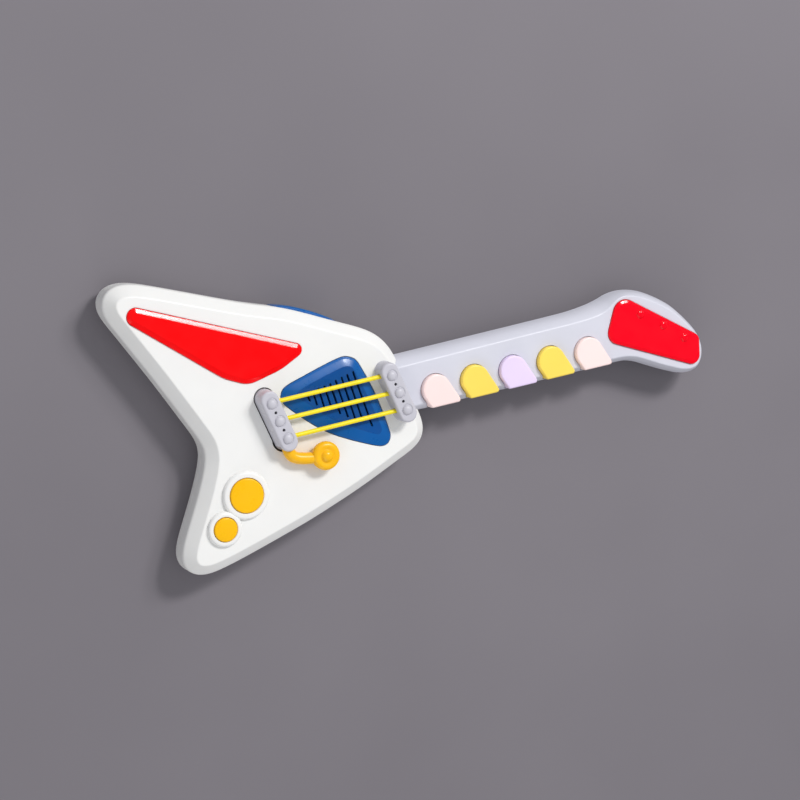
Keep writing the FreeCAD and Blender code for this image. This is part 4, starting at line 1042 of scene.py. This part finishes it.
# ------------------------------------------------- floor, light and camera
def make_floor():
    bpy.ops.mesh.primitive_plane_add(size=6.0, location=(0.1, 0, -0.0002))
    floor = bpy.context.object
    floor.name = "floor"
    s = Shader("floor")
    s.set("Base Color", s.mottle(srgb(120, 116, 122), srgb(126, 122, 128), scale=3.0,
                                 over=(0.3, 0.7), detail=2.0))
    s.set("Roughness", s.vary(30.0, over=(0.3, 0.7), to=(0.5, 0.62)))
    s.set("Specular IOR Level", 0.25)
    # the floor doesn't block the view or the light from below, nor shade what rests on it
    geometry = s.add("ShaderNodeNewGeometry")
    clear = s.add("ShaderNodeBsdfTransparent")
    pick = s.add("ShaderNodeMixShader")
    ray_length = s.add("ShaderNodeLightPath").outputs["Ray Length"]
    near = s.math("LESS_THAN", ray_length, 0.0005)
    s.feed(pick.inputs[0], s.math("MAXIMUM", geometry.outputs["Backfacing"], near))
    s.feed(pick.inputs[1], s.bsdf.outputs[0])
    s.feed(pick.inputs[2], clear.outputs[0])
    s.feed(s.output.inputs["Surface"], pick.outputs[0])
    floor.data.materials.append(s.material)


def make_world():
    """Even ambient light, with a darker room for what shiny surfaces mirror."""
    ambient, mirrored = 0.56, 0.07
    world = bpy.data.worlds.new("studio")
    world.use_nodes = True
    tree = world.node_tree
    background = tree.nodes["Background"]
    background.inputs[0].default_value = (0.95, 0.965, 1.0, 1.0)
    ray = tree.nodes.new("ShaderNodeLightPath")
    dim = tree.nodes.new("ShaderNodeMapRange")
    dim.inputs["To Min"].default_value = ambient
    dim.inputs["To Max"].default_value = mirrored
    tree.links.new(ray.outputs["Is Glossy Ray"], dim.inputs["Value"])
    tree.links.new(dim.outputs[0], background.inputs[1])
    bpy.context.scene.world = world


def area_light(name, direction, distance, size, power, colour=(1, 1, 1)):
    """Square light that stands off in a direction and faces the guitar."""
    light = bpy.data.lights.new(name, "AREA")
    light.energy = power
    light.size = size
    light.color = colour
    ob = bpy.data.objects.new(name, light)
    bpy.context.scene.collection.objects.link(ob)
    direction = Vector(direction).normalized()
    ob.location = Vector((0.08, 0.0, 0.02)) + direction * distance
    ob.rotation_mode = "QUATERNION"
    ob.rotation_quaternion = direction.to_track_quat("Z", "Y")


def make_lights():
    area_light("key", (0.38, 0.53, 0.76), distance=2.2, size=0.34, power=21.0,
               colour=(1.0, 0.985, 0.965))
    area_light("band", (0.557, 0.465, 0.689), distance=2.2, size=0.44, power=12.0,
               colour=(1.0, 0.99, 0.98))
    area_light("fill", (-0.72, -0.42, 0.62), distance=2.4, size=1.5, power=5.0,
               colour=(1.0, 0.985, 0.97))
    area_light("front", (-0.25, -0.85, 0.32), distance=2.2, size=0.9, power=5.6,
               colour=(1.0, 0.965, 0.94))
    area_light("under", (0.1, -0.2, -1.0), distance=2.2, size=1.6, power=12.0)


def make_camera():
    camera = bpy.data.cameras.new("camera")
    camera.lens = 107.39
    camera.sensor_width = 36.0
    ob = bpy.data.objects.new("camera", camera)
    bpy.context.scene.collection.objects.link(ob)
    right = Vector((0.9080, -0.1607, 0.3869)).normalized()
    look = Vector((0.3550, -0.1952, -0.9142)).normalized()
    up = right.cross(look).normalized()
    pose = Matrix((right, up, -look)).transposed().to_4x4()
    pose.translation = Vector((-0.5004, 0.30675, 1.5043))
    ob.matrix_world = pose
    scene = bpy.context.scene
    scene.camera = ob
    scene.view_settings.view_transform = "Standard"
    scene.view_settings.look = "None"


# -------------------------------------------------------------------- build
make_materials()
dress_cad_pieces()
make_neck_front()
make_neck_back()
make_body_front()
make_side_pad()
make_horn_panel()
make_grille()
make_bezel()
make_button("large", LARGE)
make_button("small", SMALL)
make_bridge()
make_nut()
make_lever()
for number, y in enumerate(STRING_Y, 1):
    make_string(number, y)
key_colours = ("pink", "yellow", "lilac", "yellow", "pink")
for number, (x, colour) in enumerate(zip(KEY_X, key_colours), 1):
    make_key(number, x, "key_" + colour)
make_headstock_panel()
make_floor()
make_world()
make_lights()
make_camera()
